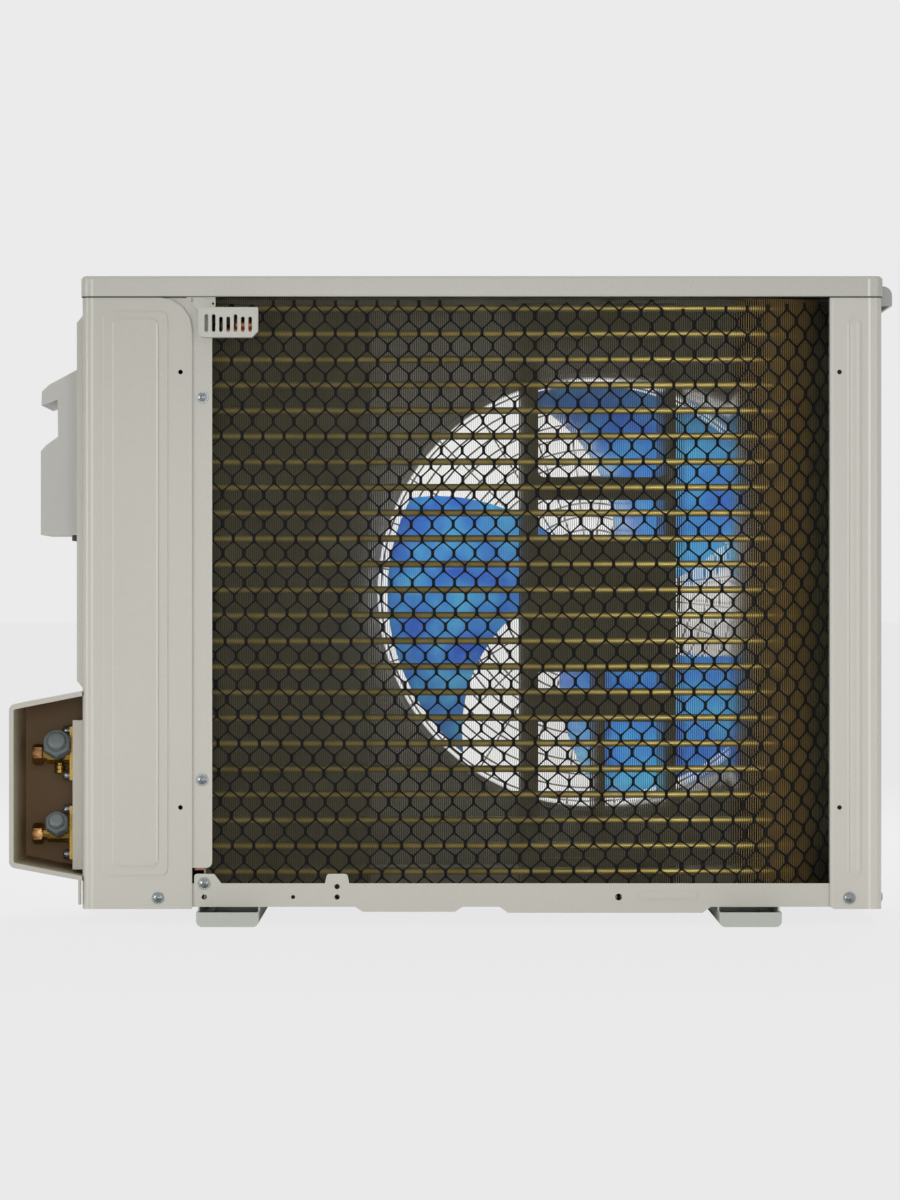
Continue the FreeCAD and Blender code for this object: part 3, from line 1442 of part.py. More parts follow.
def blade_solid():
    """One swept blade: its outline cut from a twisted sheet, steep at the hub and flat at the tip."""
    middle = math.radians(BLADE_MIDDLE)
    outward = FreeCAD.Vector(math.cos(middle), 0, math.sin(middle))
    along = FreeCAD.Vector(-math.sin(middle), 0, math.cos(middle))
    root = number(d.hub_radius) * 0.3
    tip = number(d.blade_tip) * 1.1
    height = number(HUB_FRONT - d.blade_set_back)
    chords = []
    for radius, slope in ((root, number(d.blade_root_slope)), (tip, number(d.blade_tip_slope))):
        centre = outward * radius + FreeCAD.Vector(0, height, 0)
        half = along * number(d.blade_tip) + FreeCAD.Vector(0, -slope * number(d.blade_tip), 0)
        chords.append(Part.LineSegment(centre - half, centre + half).toShape())
    sheet_face = Part.makeRuledSurface(chords[0], chords[1])
    slab = sheet_face.extrude(FreeCAD.Vector(0, -number(d.blade_thickness), 0))
    reach = number(d.blade_tip)
    outline = blade_outline()
    outline.translate(FreeCAD.Vector(0, height - reach, 0))
    return outline.extrude(FreeCAD.Vector(0, 2 * reach, 0)).common(slab)


def propeller_fan():
    """Three swept blades on a cup shaped hub with a sleeve on the shaft."""
    wall = number(d.hub_wall)
    outer = number(d.hub_radius)
    length = number(d.hub_length)
    along = FreeCAD.Vector(0, 1, 0)
    start = FreeCAD.Vector(0, number(HUB_REAR), 0)
    blades = []
    for i in range(int(BLADE_COUNT)):
        blade = blade_solid()
        blade.rotate(FreeCAD.Vector(0, 0, 0), along, 360.0 * i / BLADE_COUNT)
        blades.append(blade)
    shape = Part.makeCylinder(outer, length, start, along).fuse(blades)
    shape = shape.cut(Part.makeCylinder(outer - wall, length - wall, start, along))
    shape = shape.fuse(Part.makeCylinder(number(d.hub_sleeve), length, start, along))
    shape = shape.cut(Part.makeCylinder(number(d.shaft_radius), length, start, along))
    fan = own_shape("propeller_fan", shape.removeSplitter())
    place(fan, d.fan_x, ZERO, FAN_Z)


# Compressor room


def compressor():
    """Upright rotary compressor with a stepped top, on a three cornered foot plate."""
    radius = d.compressor_radius
    dome = d.compressor_dome
    height = d.compressor_height
    profile = [
        (ZERO, ZERO),
        (ZERO, radius),
        (height - dome, radius),
        (height - dome, radius - dome / 3),
        (height, radius - dome / 3),
        (height, ZERO),
    ]
    base = FLOOR_TOP + d.grommet_height
    body = turned("compressor", "z", profile, d.compressor_x, d.compressor_y, base + d.foot_plate)
    corners = []
    for cosine, sine in FOOT_DIRECTIONS:
        reach = d.compressor_foot + d.grommet_radius
        for turn in (-1, 1):
            x = reach * cosine - d.foot_tip_width / 2 * sine * turn
            y = reach * sine + d.foot_tip_width / 2 * cosine * turn
            corners.append((x, y))
    pad(body, "z", -d.foot_plate, ZERO, corners)


def compressor_mounts():
    """Rubber grommets under the feet and a nut on top of each."""
    grommets = []
    nuts = []
    for cosine, sine in FOOT_DIRECTIONS:
        x = d.compressor_x + d.compressor_foot * cosine
        y = d.compressor_y + d.compressor_foot * sine
        grommets.append(flatted("z", x, y, FLOOR_TOP, d.grommet_radius, d.grommet_height))
        nut_base = FLOOR_TOP + d.grommet_height + d.foot_plate
        nuts.append(prism("z", x, y, nut_base, d.stud_nut_radius, d.stud_nut_height))
    group("compressor_grommets", grommets)
    group("compressor_nuts", nuts)


def compressor_terminal_cover():
    top = FLOOR_TOP + d.grommet_height + d.foot_plate + d.compressor_height
    half = (d.compressor_radius - d.compressor_dome) * 0.6
    near = d.compressor_y + d.pipe_radius + d.fit
    lid = box(
        d.compressor_x - half, d.compressor_x + half, near, near + half, top, top + half
    )
    keep(lid, "compressor_terminal_cover")


def accumulator():
    """Suction accumulator beside the compressor, carried by a strap."""
    x = d.compressor_x + d.compressor_radius + d.accumulator_gap + d.accumulator_radius
    base = FLOOR_TOP + d.grommet_height + d.foot_plate + d.accumulator_lift
    can = prism(
        "z",
        x,
        d.compressor_y,
        base,
        d.accumulator_radius,
        d.accumulator_height,
        ROUND_FLATS * 2,
    )
    middle = base + d.accumulator_height / 2
    strap = box(
        d.compressor_x + d.compressor_radius,
        x,
        d.compressor_y - d.accumulator_gap,
        d.compressor_y + d.accumulator_gap,
        middle - d.accumulator_gap,
        middle + d.accumulator_gap,
    )
    fuse("accumulator", [can, strap])


def pipe(label, radius, points):
    """A bent copper pipe through its corner points, drawn with flats round and along it."""
    corners = [FreeCAD.Vector(*[number(value) for value in point]) for point in points]
    route = [corners[0]]
    for before, corner, after in zip(corners, corners[1:], corners[2:]):
        route += bend_points(before, corner, after)
    route.append(corners[-1])
    section = [flat(x, y) for x, y in regular(PIPE_FLATS, number(radius))]
    turn = FreeCAD.Rotation(FreeCAD.Vector(0, 0, 1), route[1] - route[0])
    outline = Part.makePolygon(section + section[:1])
    outline.Placement = FreeCAD.Placement(route[0], turn)
    sweep = Part.BRepOffsetAPI.MakePipeShell(Part.makePolygon(route))
    sweep.setTransitionMode(1)
    sweep.add(outline)
    sweep.build()
    sweep.makeSolid()
    own_shape(label, sweep.shape())


def bend_points(before, corner, after):
    """Points of a short chain of chords that rounds one corner of a pipe."""
    into = (before - corner).normalize()
    out = (after - corner).normalize()
    half = into.getAngle(out) / 2
    centre = corner + (into + out).normalize() * (number(d.pipe_bend) / math.sin(half))
    entry = corner + into * (number(d.pipe_bend) / math.tan(half)) - centre
    turn_axis = into.cross(out)
    step = -math.degrees(math.pi - 2 * half) / BEND_STEPS
    points = []
    for i in range(int(BEND_STEPS) + 1):
        points.append(centre + FreeCAD.Rotation(turn_axis, step * i).multVec(entry))
    return points


def pipes():
    coil_y = COIL_REAR + d.coil_thickness / 2
    coil_x = d.coil_left - d.end_plate
    base = FLOOR_TOP + d.grommet_height + d.foot_plate
    shell_top = base + d.compressor_height
    can_x = d.compressor_x + d.compressor_radius + d.accumulator_gap + d.accumulator_radius
    can_top = base + d.accumulator_lift + d.accumulator_height
    valve_x = LEFT + d.valve_inlet
    over = shell_top + d.pipe_bend * 2.5
    coil_top = FLOOR_TOP + TUBE_PITCH * (d.tube_count - 0.5)
    coil_low = FLOOR_TOP + TUBE_PITCH / 2
    pipe(
        "discharge_pipe",
        d.pipe_radius,
        [
            (d.compressor_x, d.compressor_y, shell_top),
            (d.compressor_x, d.compressor_y, over),
            (d.compressor_x, coil_y, over),
            (d.compressor_x, coil_y, coil_top),
            (coil_x, coil_y, coil_top),
        ],
    )
    rise_x = valve_x + d.pipe_bend * 2
    middle = can_top + d.pipe_bend * 2
    pipe(
        "suction_pipe",
        d.pipe_radius,
        [
            (valve_x, d.valve_y, d.gas_valve_z),
            (rise_x, d.valve_y, d.gas_valve_z),
            (rise_x, d.valve_y, middle),
            (can_x, d.compressor_y, middle),
            (can_x, d.compressor_y, can_top),
        ],
    )
    pipe(
        "liquid_pipe",
        d.liquid_pipe_radius,
        [
            (coil_x, coil_y, coil_low),
            (rise_x, coil_y, coil_low),
            (rise_x, d.valve_y, d.liquid_valve_z),
            (valve_x, d.valve_y, d.liquid_valve_z),
        ],
    )


def electrical_box():
    """Open tray over the compressor with the circuit board and the run capacitor."""
    body = new_body("electrical_box")
    left = LEFT + d.sheet
    right = left + d.box_width
    rear = d.box_rear
    front = rear + d.box_depth
    low = SKIRT - d.box_drop - d.box_height
    wall = d.box_wall
    pad(body, "z", low, low + d.box_height, rectangle(left, rear, right, front))
    inner = rectangle(left + wall, rear + wall, right - wall, front - wall)
    pocket(body, "z", low + wall, low + d.box_height, inner)
    lift = low + wall + d.board_lift
    margin = d.board_lift
    board = box(
        left + wall + margin,
        right - wall - margin,
        rear + wall + margin,
        front - wall - margin * 3,
        lift,
        lift + d.board_thickness,
    )
    posts = []
    for x in (left + wall + margin, right - wall - margin * 2):
        posts.append(
            box(x, x + margin, rear + wall + margin, rear + wall + margin * 2, low + wall, lift)
        )
    fuse("control_board", [board] + posts)
    capacitor = box(
        left + wall + margin,
        left + wall + margin + d.capacitor_length,
        front - wall - d.fit - d.capacitor_width,
        front - wall - d.fit,
        low + wall,
        low + wall + d.capacitor_height,
    )
    keep(capacitor, "run_capacitor")


# Electrical connection on the side


def terminal_cover():
    """Cover over the terminals, with a recess that serves as a carrying grip."""
    body = new_body("terminal_cover")
    base = LEFT - d.side_field_rise
    wall = d.terminal_wall
    rear = REAR + d.terminal_rear
    front = rear + d.terminal_depth
    low = TERMINAL_LOW
    pad(body, "y", rear, front, terminal_profile(base, low, ZERO))
    pocket(body, "y", rear + wall, front - wall, terminal_profile(base, low, wall))


def terminal_profile(base, low, wall):
    """The cover's outline from the rear, or its inside when given the wall."""
    points = []
    for out, up, inward, rise in TERMINAL_OUTLINE:
        x = base - d.terminal_reach * out + wall * inward
        points.append((x, low + d.terminal_height * up + wall * rise))
    return points


def terminal_block():
    """Screw terminals under the cover, and the clamp that holds the cable below it."""
    base = LEFT - d.side_field_rise
    rear = REAR + d.terminal_rear + d.terminal_wall * 4
    low = TERMINAL_LOW + d.terminal_wall * 4
    solid = box(base - d.block_reach, base, rear, rear + d.block_depth, low, low + d.block_height)
    ledge = box(
        base - d.block_reach / 2,
        base,
        rear + d.block_depth,
        rear + d.block_depth + d.block_reach / 2,
        low,
        low + d.block_height,
    )
    fuse("terminal_block", [solid, ledge])
    clamp_top = TERMINAL_LOW - d.seam
    keep(
        box(base - d.clamp_reach, base, rear, rear + d.clamp_length, clamp_top - d.clamp_height, clamp_top),
        "cable_clamp",
    )


# Service valves


def valve_cover():
    """Hood over the valves, open towards the rear."""
    body = new_body("valve_cover")
    rear = REAR + d.valve_cover_rear
    front = rear + d.valve_cover_depth
    wall = d.valve_cover_wall
    low = d.valve_cover_bottom
    high = low + d.valve_cover_height
    outer = LEFT - d.valve_cover_reach
    slope = d.valve_cover_slope
    shell = [
        (LEFT, low),
        (LEFT, high),
        (outer, high - slope, wall * 1.5),
        (outer, low + slope, wall * 1.5),
    ]
    hollow = [
        (LEFT, low + wall),
        (LEFT, high - wall),
        (outer + wall, high - slope - wall, wall / 2),
        (outer + wall, low + slope + wall, wall / 2),
    ]
    pad(body, "y", rear, front, shell)
    pocket(body, "y", rear, front - wall, hollow)
    tab_x = LEFT - d.valve_cover_tab_gap
    tab = rectangle(tab_x - d.valve_cover_tab_wall, low - d.valve_cover_tab, tab_x, low + wall)
    pad(body, "y", rear, rear + wall * 2, tab)


def valve_plate():
    """Pressed plate on the side panel that carries both valves."""
    body = new_body("valve_plate")
    rear = REAR + d.valve_plate_rear
    front = rear + d.valve_plate_depth
    low = d.valve_plate_bottom
    high = low + d.valve_plate_height
    face = LEFT - d.valve_plate_rise
    wall = d.sheet
    pad(body, "x", face, LEFT, rectangle(rear, low, front, high))
    pocket(body, "x", face + wall, LEFT, rectangle(rear + wall, low + wall, front - wall, high - wall))
    holes = [
        hole(d.valve_y, d.gas_valve_z, d.pipe_radius + d.seam),
        hole(d.valve_y, d.liquid_valve_z, d.liquid_pipe_radius + d.seam),
    ]
    pocket(body, "x", face, face + wall, *holes)


def tilt_back(item, x, z, along, sides):
    """Lay an upright prism along a flare port, which points to the rear and a little up."""
    tilt = number(d.port_tilt)
    laid = FreeCAD.Rotation(FreeCAD.Vector(1, 0, 0), 90 - tilt)
    upright_flat = FreeCAD.Rotation(FreeCAD.Vector(0, 0, 1), 180 / sides)
    item.Placement.Rotation = laid.multiply(upright_flat)
    cosine = math.cos(math.radians(tilt))
    sine = math.sin(math.radians(tilt))
    place(item, x, d.valve_y - along * cosine, z + along * sine)


def tilted_prism(sides, x, z, along, corner_radius, length):
    """A prism on the axis of a flare port, from a distance along it."""
    item = doc.addObject("Part::Prism", "flats")
    item.Polygon = int(sides)
    bind(item, "Circumradius", corner_radius)
    bind(item, "Height", length)
    tilt_back(item, x, z, along, sides)
    return item


def valve(name, z, body_radius, port_radius, pipe_radius, extra):
    """Brass service valve: flange, body and neck along -X, flare port to the rear."""
    plate = LEFT - d.valve_plate_rise
    face = plate - d.valve_flange
    end = face - d.valve_body_length
    flange = box(
        face,
        plate,
        d.valve_y - d.valve_flange_width / 2,
        d.valve_y + d.valve_flange_width / 2,
        z - d.valve_flange_height * d.flange_low_share,
        z + d.valve_flange_height * (1 - d.flange_low_share),
    )
    neck = flatted("x", end, d.valve_y, z, d.neck_radius, d.valve_body_length)
    barrel = flatted(
        "x", end + d.neck_length, d.valve_y, z, body_radius, d.valve_body_length - d.neck_length
    )
    stub = flatted("x", face, d.valve_y, z, pipe_radius, d.valve_inlet - face + LEFT)
    port = tilted_prism(ROUND_FLATS, face - d.port_offset, z, ZERO, port_radius, d.port_length)
    solid = union([flange, neck, barrel, stub, port] + extra)
    bore = cylinder(
        "x", end, d.valve_y, z, d.stem_radius + d.stem_clearance, d.stem_length + d.stem_travel
    )
    cut(f"{name}_valve", solid, bore)
    stem = flatted("x", end, d.valve_y, z, d.stem_radius, d.stem_length)
    key = prism("x", end, d.valve_y, z, d.stem_radius * 0.6, d.stem_length / 4)
    cut(f"{name}_valve_stem", stem, key)
    outer = prism("x", end - d.cap_wall, d.valve_y, z, flats(d.stem_cap_flats), d.stem_cap_height)
    inner = flatted("x", end, d.valve_y, z, d.neck_radius + d.seam, d.stem_cap_height)
    cut(f"{name}_stem_cap", outer, inner)


def flats(half_width):
    """Corner radius of a hexagon from half its width across flats."""
    return half_width / math.cos(math.pi / HEXAGON)


def flare_cap(name, z, port_radius, cap_flats):
    """Hexagonal cap with a round end, screwed over a flare port."""
    plate = LEFT - d.valve_plate_rise
    x = plate - d.valve_flange - d.port_offset
    outer = tilted_prism(HEXAGON, x, z, d.cap_seat, flats(cap_flats), d.cap_length)
    end = d.cap_seat + d.cap_length
    dome = tilted_prism(ROUND_FLATS, x, z, end, cap_flats * CAP_END_SHARE, d.cap_dome)
    depth = d.port_length - d.cap_seat + d.seam
    inner = tilted_prism(ROUND_FLATS, x, z, d.cap_seat, port_radius + d.seam, depth)
    cut(f"{name}_flare_cap", union([outer, dome]), inner)


def valves():
    port_x = LEFT - d.valve_plate_rise - d.valve_flange - d.port_offset
    gauge = flatted(
        "z",
        port_x,
        d.valve_y,
        d.gas_valve_z - d.service_port_length,
        d.service_port_radius,
        d.service_port_length,
    )
    valve("gas", d.gas_valve_z, d.gas_body_radius, d.gas_port_radius, d.pipe_radius, [gauge])
    valve(
        "liquid",
        d.liquid_valve_z,
        d.liquid_body_radius,
        d.liquid_port_radius,
        d.liquid_pipe_radius,
        [],
    )
    flare_cap("gas", d.gas_valve_z, d.gas_port_radius, d.gas_cap_flats)
    flare_cap("liquid", d.liquid_valve_z, d.liquid_port_radius, d.liquid_cap_flats)
    end = d.gas_valve_z - d.service_port_length
    outer = flatted("z", port_x, d.valve_y, end - d.cap_wall, d.port_cap_radius, d.port_cap_height)
    radius = d.service_port_radius + d.seam
    inner = flatted("z", port_x, d.valve_y, end, radius, d.port_cap_height)
    cut("service_port_cap", outer, inner)


# Small fittings


def sensor_holder():
    """Slotted holder for the outdoor air sensor, hung at the service panel's flange."""
    body = new_body("sensor_holder")
    far = REAR + d.service_recess
    near = far - d.sensor_depth
    wall = d.sensor_wall
    left = d.sensor_left
    right = left + d.sensor_width
    high = SKIRT - d.sensor_drop
    low = high - d.sensor_height
    corner = d.sensor_height / 5
    outline = [
        (left, low, corner),
        (right - corner, low),
        (right, low + corner),
        (right, high),
        (left, high),
    ]
    pad(body, "y", near, far, outline)
    hollow = rectangle(left + wall, low + wall * 1.5, right - wall * 1.5, high - wall)
    pocket(body, "y", near + wall, far, hollow)
    slot = rectangle(
        left + d.sensor_slot_width * 1.5,
        low + corner,
        left + d.sensor_slot_width * 2.5,
        low + corner + d.sensor_slot_height,
    )
    first = pocket(body, "y", near, near + wall, slot)
    row_of(body, first, "x", d.sensor_slot_pitch, d.sensor_slots)
    ear = [
        (left - d.sensor_drop * 1.2, SKIRT),
        (left, high),
        (left + d.sensor_drop * 1.5, high),
        (left + d.sensor_drop * 1.5, SKIRT),
    ]
    pad(body, "y", far - wall, far, ear)


def ambient_sensor():
    """Air temperature probe lying in its holder."""
    far = REAR + d.service_recess
    low = SKIRT - d.sensor_drop - d.sensor_height + d.sensor_wall * 1.5
    probe = flatted(
        "x",
        d.sensor_left + d.sensor_width - d.sensor_wall * 3 - d.sensor_length,
        far - d.sensor_depth / 2,
        low + d.sensor_radius + d.fit,
        d.sensor_radius,
        d.sensor_length,
    )
    keep(probe, "ambient_sensor")


def side_handle():
    """Moulded grip under the edge of the top cover, on the coil side."""
    body = new_body("side_handle")
    rear = REAR + d.handle_rear
    front = rear + d.handle_length
    high = TOP - d.handle_drop
    low = high - d.handle_height
    wall = d.handle_wall
    base = RIGHT + COVER_OVERHANG
    end = base + d.handle_reach
    outer = [(base, low), (end, low), (end, high, d.handle_reach * 0.8), (base, high)]
    hollow = [
        (base, low),
        (end - wall, low),
        (end - wall, high - wall, d.handle_reach * 0.8 - wall),
        (base, high - wall),
    ]
    pad(body, "y", rear, front, outer)
    pocket(body, "y", rear + wall, front - wall, hollow)


def screws():
    """Heads of the casing screws, by the face that each is driven into."""
    radius = d.screw_radius
    head = d.screw_head
    flange_x = LEFT + d.service_width - d.service_flange / 2
    raised_x = LEFT + d.rib_left + d.rib_width - d.rib_step
    foot_z = d.floor_height + d.rim_screw_rise
    rear_heads = [
        (flange_x, PAN_REAR, SKIRT - d.flange_screw_drop),
        (flange_x, PAN_REAR, d.flange_screw_low),
        (d.corner_tab_left + d.tab_width / 2, PAN_REAR, RIM_TOP),
        (raised_x, REAR, foot_z),
        (RIGHT - d.post_width + d.post_rib_offset, REAR, foot_z),
    ]
    heads = [flatted("y", x, y - head, z, radius, head) for x, y, z in rear_heads]
    y = REAR + d.post_rib_offset
    heads.append(flatted("x", RIGHT, y, foot_z, radius, head))
    front_y = FRONT - d.front_return / 2
    for z in (foot_z, PANEL_TOP - d.rim_screw_rise * 2):
        heads.append(flatted("x", RIGHT, front_y, z, radius, head))
        heads.append(flatted("x", LEFT - head, front_y, z, radius, head))
    face = LEFT - d.valve_plate_rise - d.valve_flange
    small = radius * d.valve_screw_share
    low_share = d.valve_flange_height * d.flange_low_share - small - d.seam
    high_share = d.valve_flange_height * (1 - d.flange_low_share) - small - d.seam
    for z in (d.gas_valve_z, d.liquid_valve_z):
        heads.append(flatted("x", face - head, d.valve_y, z - low_share, small, head))
        heads.append(flatted("x", face - head, d.valve_y, z + high_share, small, head))
    group("panel_screws", heads)


for make in (
    base_pan,
    top_cover,
    service_panel,
    coil_side_panel,
    front_panel,
    partition_plate,
    fan_guard,
    guard_rim,
    coil_core,
    coil_end_plates,
    return_bends,
    coil_net,
    motor_bracket,
    fan_motor,
    motor_shaft,
    fan_nut,
    propeller_fan,
    compressor,
    compressor_mounts,
    compressor_terminal_cover,
    accumulator,
    pipes,
    electrical_box,
    terminal_cover,
    terminal_block,
    valve_cover,
    valve_plate,
    valves,
    sensor_holder,
    ambient_sensor,
    side_handle,
    screws,
):
    make()
foot_rail("foot_rail_left", -d.foot_pitch / 2)
foot_rail("foot_rail_right", d.foot_pitch / 2)

doc.recompute()
for item in doc.Objects:
    if "Invalid" in item.State or "Error" in item.State:
        raise RuntimeError(f"{item.Label} failed: {item.State}")
for item in subparts:
    if item.Shape.isNull() or not item.Shape.isValid():
        raise RuntimeError(f"{item.Label} has no valid shape")
for item in subparts:
    item.Shape.exportStep(f"parts/{item.Label}.step")
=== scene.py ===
import math
import random

import bmesh
import bpy
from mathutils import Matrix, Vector
from mathutils.geometry import tessellate_polygon


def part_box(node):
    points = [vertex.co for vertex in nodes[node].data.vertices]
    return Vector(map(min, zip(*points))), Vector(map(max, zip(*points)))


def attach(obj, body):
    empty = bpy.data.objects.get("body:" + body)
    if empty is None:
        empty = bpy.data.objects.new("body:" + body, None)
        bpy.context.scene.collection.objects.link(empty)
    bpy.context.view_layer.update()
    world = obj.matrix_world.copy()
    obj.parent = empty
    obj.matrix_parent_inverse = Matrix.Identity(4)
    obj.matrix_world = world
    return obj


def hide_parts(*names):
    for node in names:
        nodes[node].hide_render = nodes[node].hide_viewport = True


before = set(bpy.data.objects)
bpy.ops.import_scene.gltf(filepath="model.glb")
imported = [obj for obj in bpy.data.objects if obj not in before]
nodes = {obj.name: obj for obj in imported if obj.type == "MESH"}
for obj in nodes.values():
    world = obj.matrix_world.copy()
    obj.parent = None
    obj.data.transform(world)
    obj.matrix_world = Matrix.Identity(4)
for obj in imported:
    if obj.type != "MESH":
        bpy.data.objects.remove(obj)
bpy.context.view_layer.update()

MM = 0.001


def box_mm(node):
    """Lowest and highest corner of a CAD node, in millimetres."""
    low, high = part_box(node)
    return low / MM, high / MM


def middle_mm(node):
    """Middle of a CAD node, in millimetres."""
    low, high = box_mm(node)
    return (low + high) / 2


# Camera in millimetres: at the casing's rear face one millimetre is one dot of the photograph
REAR_PLANE = -150.0
CAMERA_DISTANCE = 4200.0
CAMERA_X = -38.75
CAMERA_Z = 325.0
PICTURE_HEIGHT = 1200.0
SENSOR = 36.0
# Nearest and farthest distance that the camera sees, in metres
NEAREST = 0.1
FARTHEST = 60.0


def set_camera():
    data = bpy.data.cameras.new("camera")
    data.sensor_fit = "VERTICAL"
    data.sensor_height = SENSOR
    data.lens = SENSOR * CAMERA_DISTANCE / PICTURE_HEIGHT
    data.clip_start = NEAREST
    data.clip_end = FARTHEST
    camera = bpy.data.objects.new("camera", data)
    camera.location = (CAMERA_X * MM, (REAR_PLANE - CAMERA_DISTANCE) * MM, CAMERA_Z * MM)
    camera.rotation_euler = (math.radians(90), 0, 0)
    bpy.context.scene.collection.objects.link(camera)
    bpy.context.scene.camera = camera
    bpy.context.scene.view_settings.view_transform = "Standard"


set_camera()

# Casing, fan and valves, in millimetres
CASING_LEFT = box_mm("front_panel")[0].x
CASING_RIGHT = box_mm("front_panel")[1].x
SKIRT = box_mm("top_cover")[0].z
FAN_X = middle_mm("fan_nut").x
FAN_Z = middle_mm("fan_nut").z
VALVE_Y = middle_mm("gas_valve_stem").y
GAS_Z = middle_mm("gas_valve_stem").z
LIQUID_Z = middle_mm("liquid_valve_stem").z

# Coil in millimetres
COIL_LEFT, COIL_REAR, COIL_BOTTOM = box_mm("coil_core")[0]
COIL_RIGHT, COIL_END, COIL_TOP = box_mm("coil_core")[1]
COIL_BEND = 130.0
COIL_DEPTH = 22.0
FIN_PITCH = 2.16
FIN_SHEET = 0.18
TUBE_COUNT = 24
TUBE_PITCH = 25.7
TUBE_LOWEST = 26.97
TUBE_RADIUS = 3.6
TUBE_INSET = 7.6
TUBE_SIDES = 12
BEND_STEPS = 14
# A face up to this many times an edge's area counts as an edge
AREA_ROOM = 1.5


# Nodes of materials

# Most noise values lie between these
NOISE_LOW = 0.3
NOISE_HIGH = 0.7


def new_material(name):
    mat = bpy.data.materials.new(name)
    mat.use_nodes = True
    tree = mat.node_tree
    return mat, tree, tree.nodes["Principled BSDF"]


def parts_of(mat):
    """Tree, shader and base colour of a material that gets more nodes."""
    tree = mat.node_tree
    shader = tree.nodes["Principled BSDF"]
    return tree, shader, shader.inputs["Base Color"].links[0].from_socket


def noise(tree, scale, detail, rough):
    """Noise over object coordinates, in features per metre."""
    coords = tree.nodes.new("ShaderNodeTexCoord")
    texture = tree.nodes.new("ShaderNodeTexNoise")
    texture.inputs["Scale"].default_value = scale
    texture.inputs["Detail"].default_value = detail
    texture.inputs["Roughness"].default_value = rough
    tree.links.new(coords.outputs["Object"], texture.inputs["Vector"])
    return texture.outputs["Fac"]


def remap(tree, value, low, high, start=NOISE_LOW, end=NOISE_HIGH):
    """Low where a value is at its start, high where it is at its end, and held beyond both."""
    node = tree.nodes.new("ShaderNodeMapRange")
    node.inputs["From Min"].default_value = start
    node.inputs["From Max"].default_value = end
    node.inputs["To Min"].default_value = low
    node.inputs["To Max"].default_value = high
    tree.links.new(value, node.inputs["Value"])
    return node.outputs["Result"]


def blend_colors(tree, factor, first, second):
    """Mix of two colours, each one a tuple or a socket."""
    node = tree.nodes.new("ShaderNodeMix")
    node.data_type = "RGBA"
    tree.links.new(factor, node.inputs["Factor"])
    for socket, value in (("A", first), ("B", second)):
        target = [item for item in node.inputs if item.name == socket and item.type == "RGBA"][0]
        if isinstance(value, tuple):
            target.default_value = (*value, 1)
        else:
            tree.links.new(value, target)
    return [item for item in node.outputs if item.type == "RGBA"][0]


def mix_shaders(tree, factor, first, second, output):
    """Mix of two shaders, put on the output node; the factor is a number or a socket."""
    node = tree.nodes.new("ShaderNodeMixShader")
    if isinstance(factor, float):
        node.inputs["Fac"].default_value = factor
    else:
        tree.links.new(factor, node.inputs["Fac"])
    tree.links.new(first, node.inputs[1])
    tree.links.new(second, node.inputs[2])
    tree.links.new(node.outputs["Shader"], tree.nodes[output].inputs["Surface"])


def arithmetic(tree, operation, first, second):
    """One operation on two values, each one a number or a socket."""
    node = tree.nodes.new("ShaderNodeMath")
    node.operation = operation
    for socket, value in zip(node.inputs, (first, second)):
        if isinstance(value, float):
            socket.default_value = value
        else:
            tree.links.new(value, socket)
    return node.outputs["Value"]


def distance_from(tree, value, place):
    return arithmetic(tree, "ABSOLUTE", arithmetic(tree, "SUBTRACT", value, place), 0.0)


def within(tree, value, limit, above):
    """One where a value lies above, or below, a limit, with a soft step of half a millimetre."""
    soft = 0.25 * MM
    if above:
        return remap(tree, value, 0.0, 1.0, limit - soft, limit + soft)
    return remap(tree, value, 1.0, 0.0, limit - soft, limit + soft)


def bump(tree, shader, height, strength, distance):
    node = tree.nodes.new("ShaderNodeBump")
    node.inputs["Strength"].default_value = strength
    node.inputs["Distance"].default_value = distance
    tree.links.new(height, node.inputs["Height"])
    tree.links.new(node.outputs["Normal"], shader.inputs["Normal"])


def varied(color, share):
    return tuple(min(1.0, value * share) for value in color)


def object_axes(tree):
    """Place on the object along X, Y and Z, in metres."""
    coords = tree.nodes.new("ShaderNodeTexCoord")
    parts = tree.nodes.new("ShaderNodeSeparateXYZ")
    tree.links.new(coords.outputs["Object"], parts.inputs["Vector"])
    return tuple(parts.outputs[axis] for axis in "XYZ")


# Heights in metres between which the painted light on the paint changes from its foot to its top
LIGHT_FOOT_HEIGHT = 0.05
LIGHT_TOP_HEIGHT = 0.60


def lit_by_height(tree, color, low, high):
    """A colour scaled by height, as painted light: low near the ground, high near the top."""
    node = tree.nodes.new("ShaderNodeVectorMath")
    node.operation = "SCALE"
    height = object_axes(tree)[2]
    tree.links.new(color, node.inputs[0])
    tree.links.new(remap(tree, height, low, high, LIGHT_FOOT_HEIGHT, LIGHT_TOP_HEIGHT), node.inputs["Scale"])
    return node.outputs["Vector"]


# Materials

ROUGH_SWING = 0.06
ROUGH_LEAST = 0.03
GRAIN_STRENGTH = 0.35


def surface(
    name,
    color,
    rough,
    metallic=0.0,
    spread=0.04,
    grain=900.0,
    depth=0.02,
    patch=6.0,
    height_light=None,
    specular=0.5,
):
    """Colour that drifts a little, roughness that varies, and a fine grain in the surface.

    Grain and patch are features per metre, and depth is in millimetres.
    """
    mat, tree, shader = new_material(name)
    drift = remap(tree, noise(tree, patch, 4.0, 0.55), 0.0, 1.0)
    fine = noise(tree, grain, 2.0, 0.5)
    tint = blend_colors(tree, drift, varied(color, 1 - spread), varied(color, 1 + spread))
    # Painted light: the colour is scaled by height
    if height_light is not None:
        tint = lit_by_height(tree, tint, *height_light)
    smoothest = max(rough - ROUGH_SWING, ROUGH_LEAST)
    tree.links.new(tint, shader.inputs["Base Color"])
    tree.links.new(remap(tree, fine, smoothest, rough + ROUGH_SWING), shader.inputs["Roughness"])
    shader.inputs["Metallic"].default_value = metallic
    shader.inputs["Specular IOR Level"].default_value = specular
    bump(tree, shader, fine, GRAIN_STRENGTH, depth * MM)
    return mat


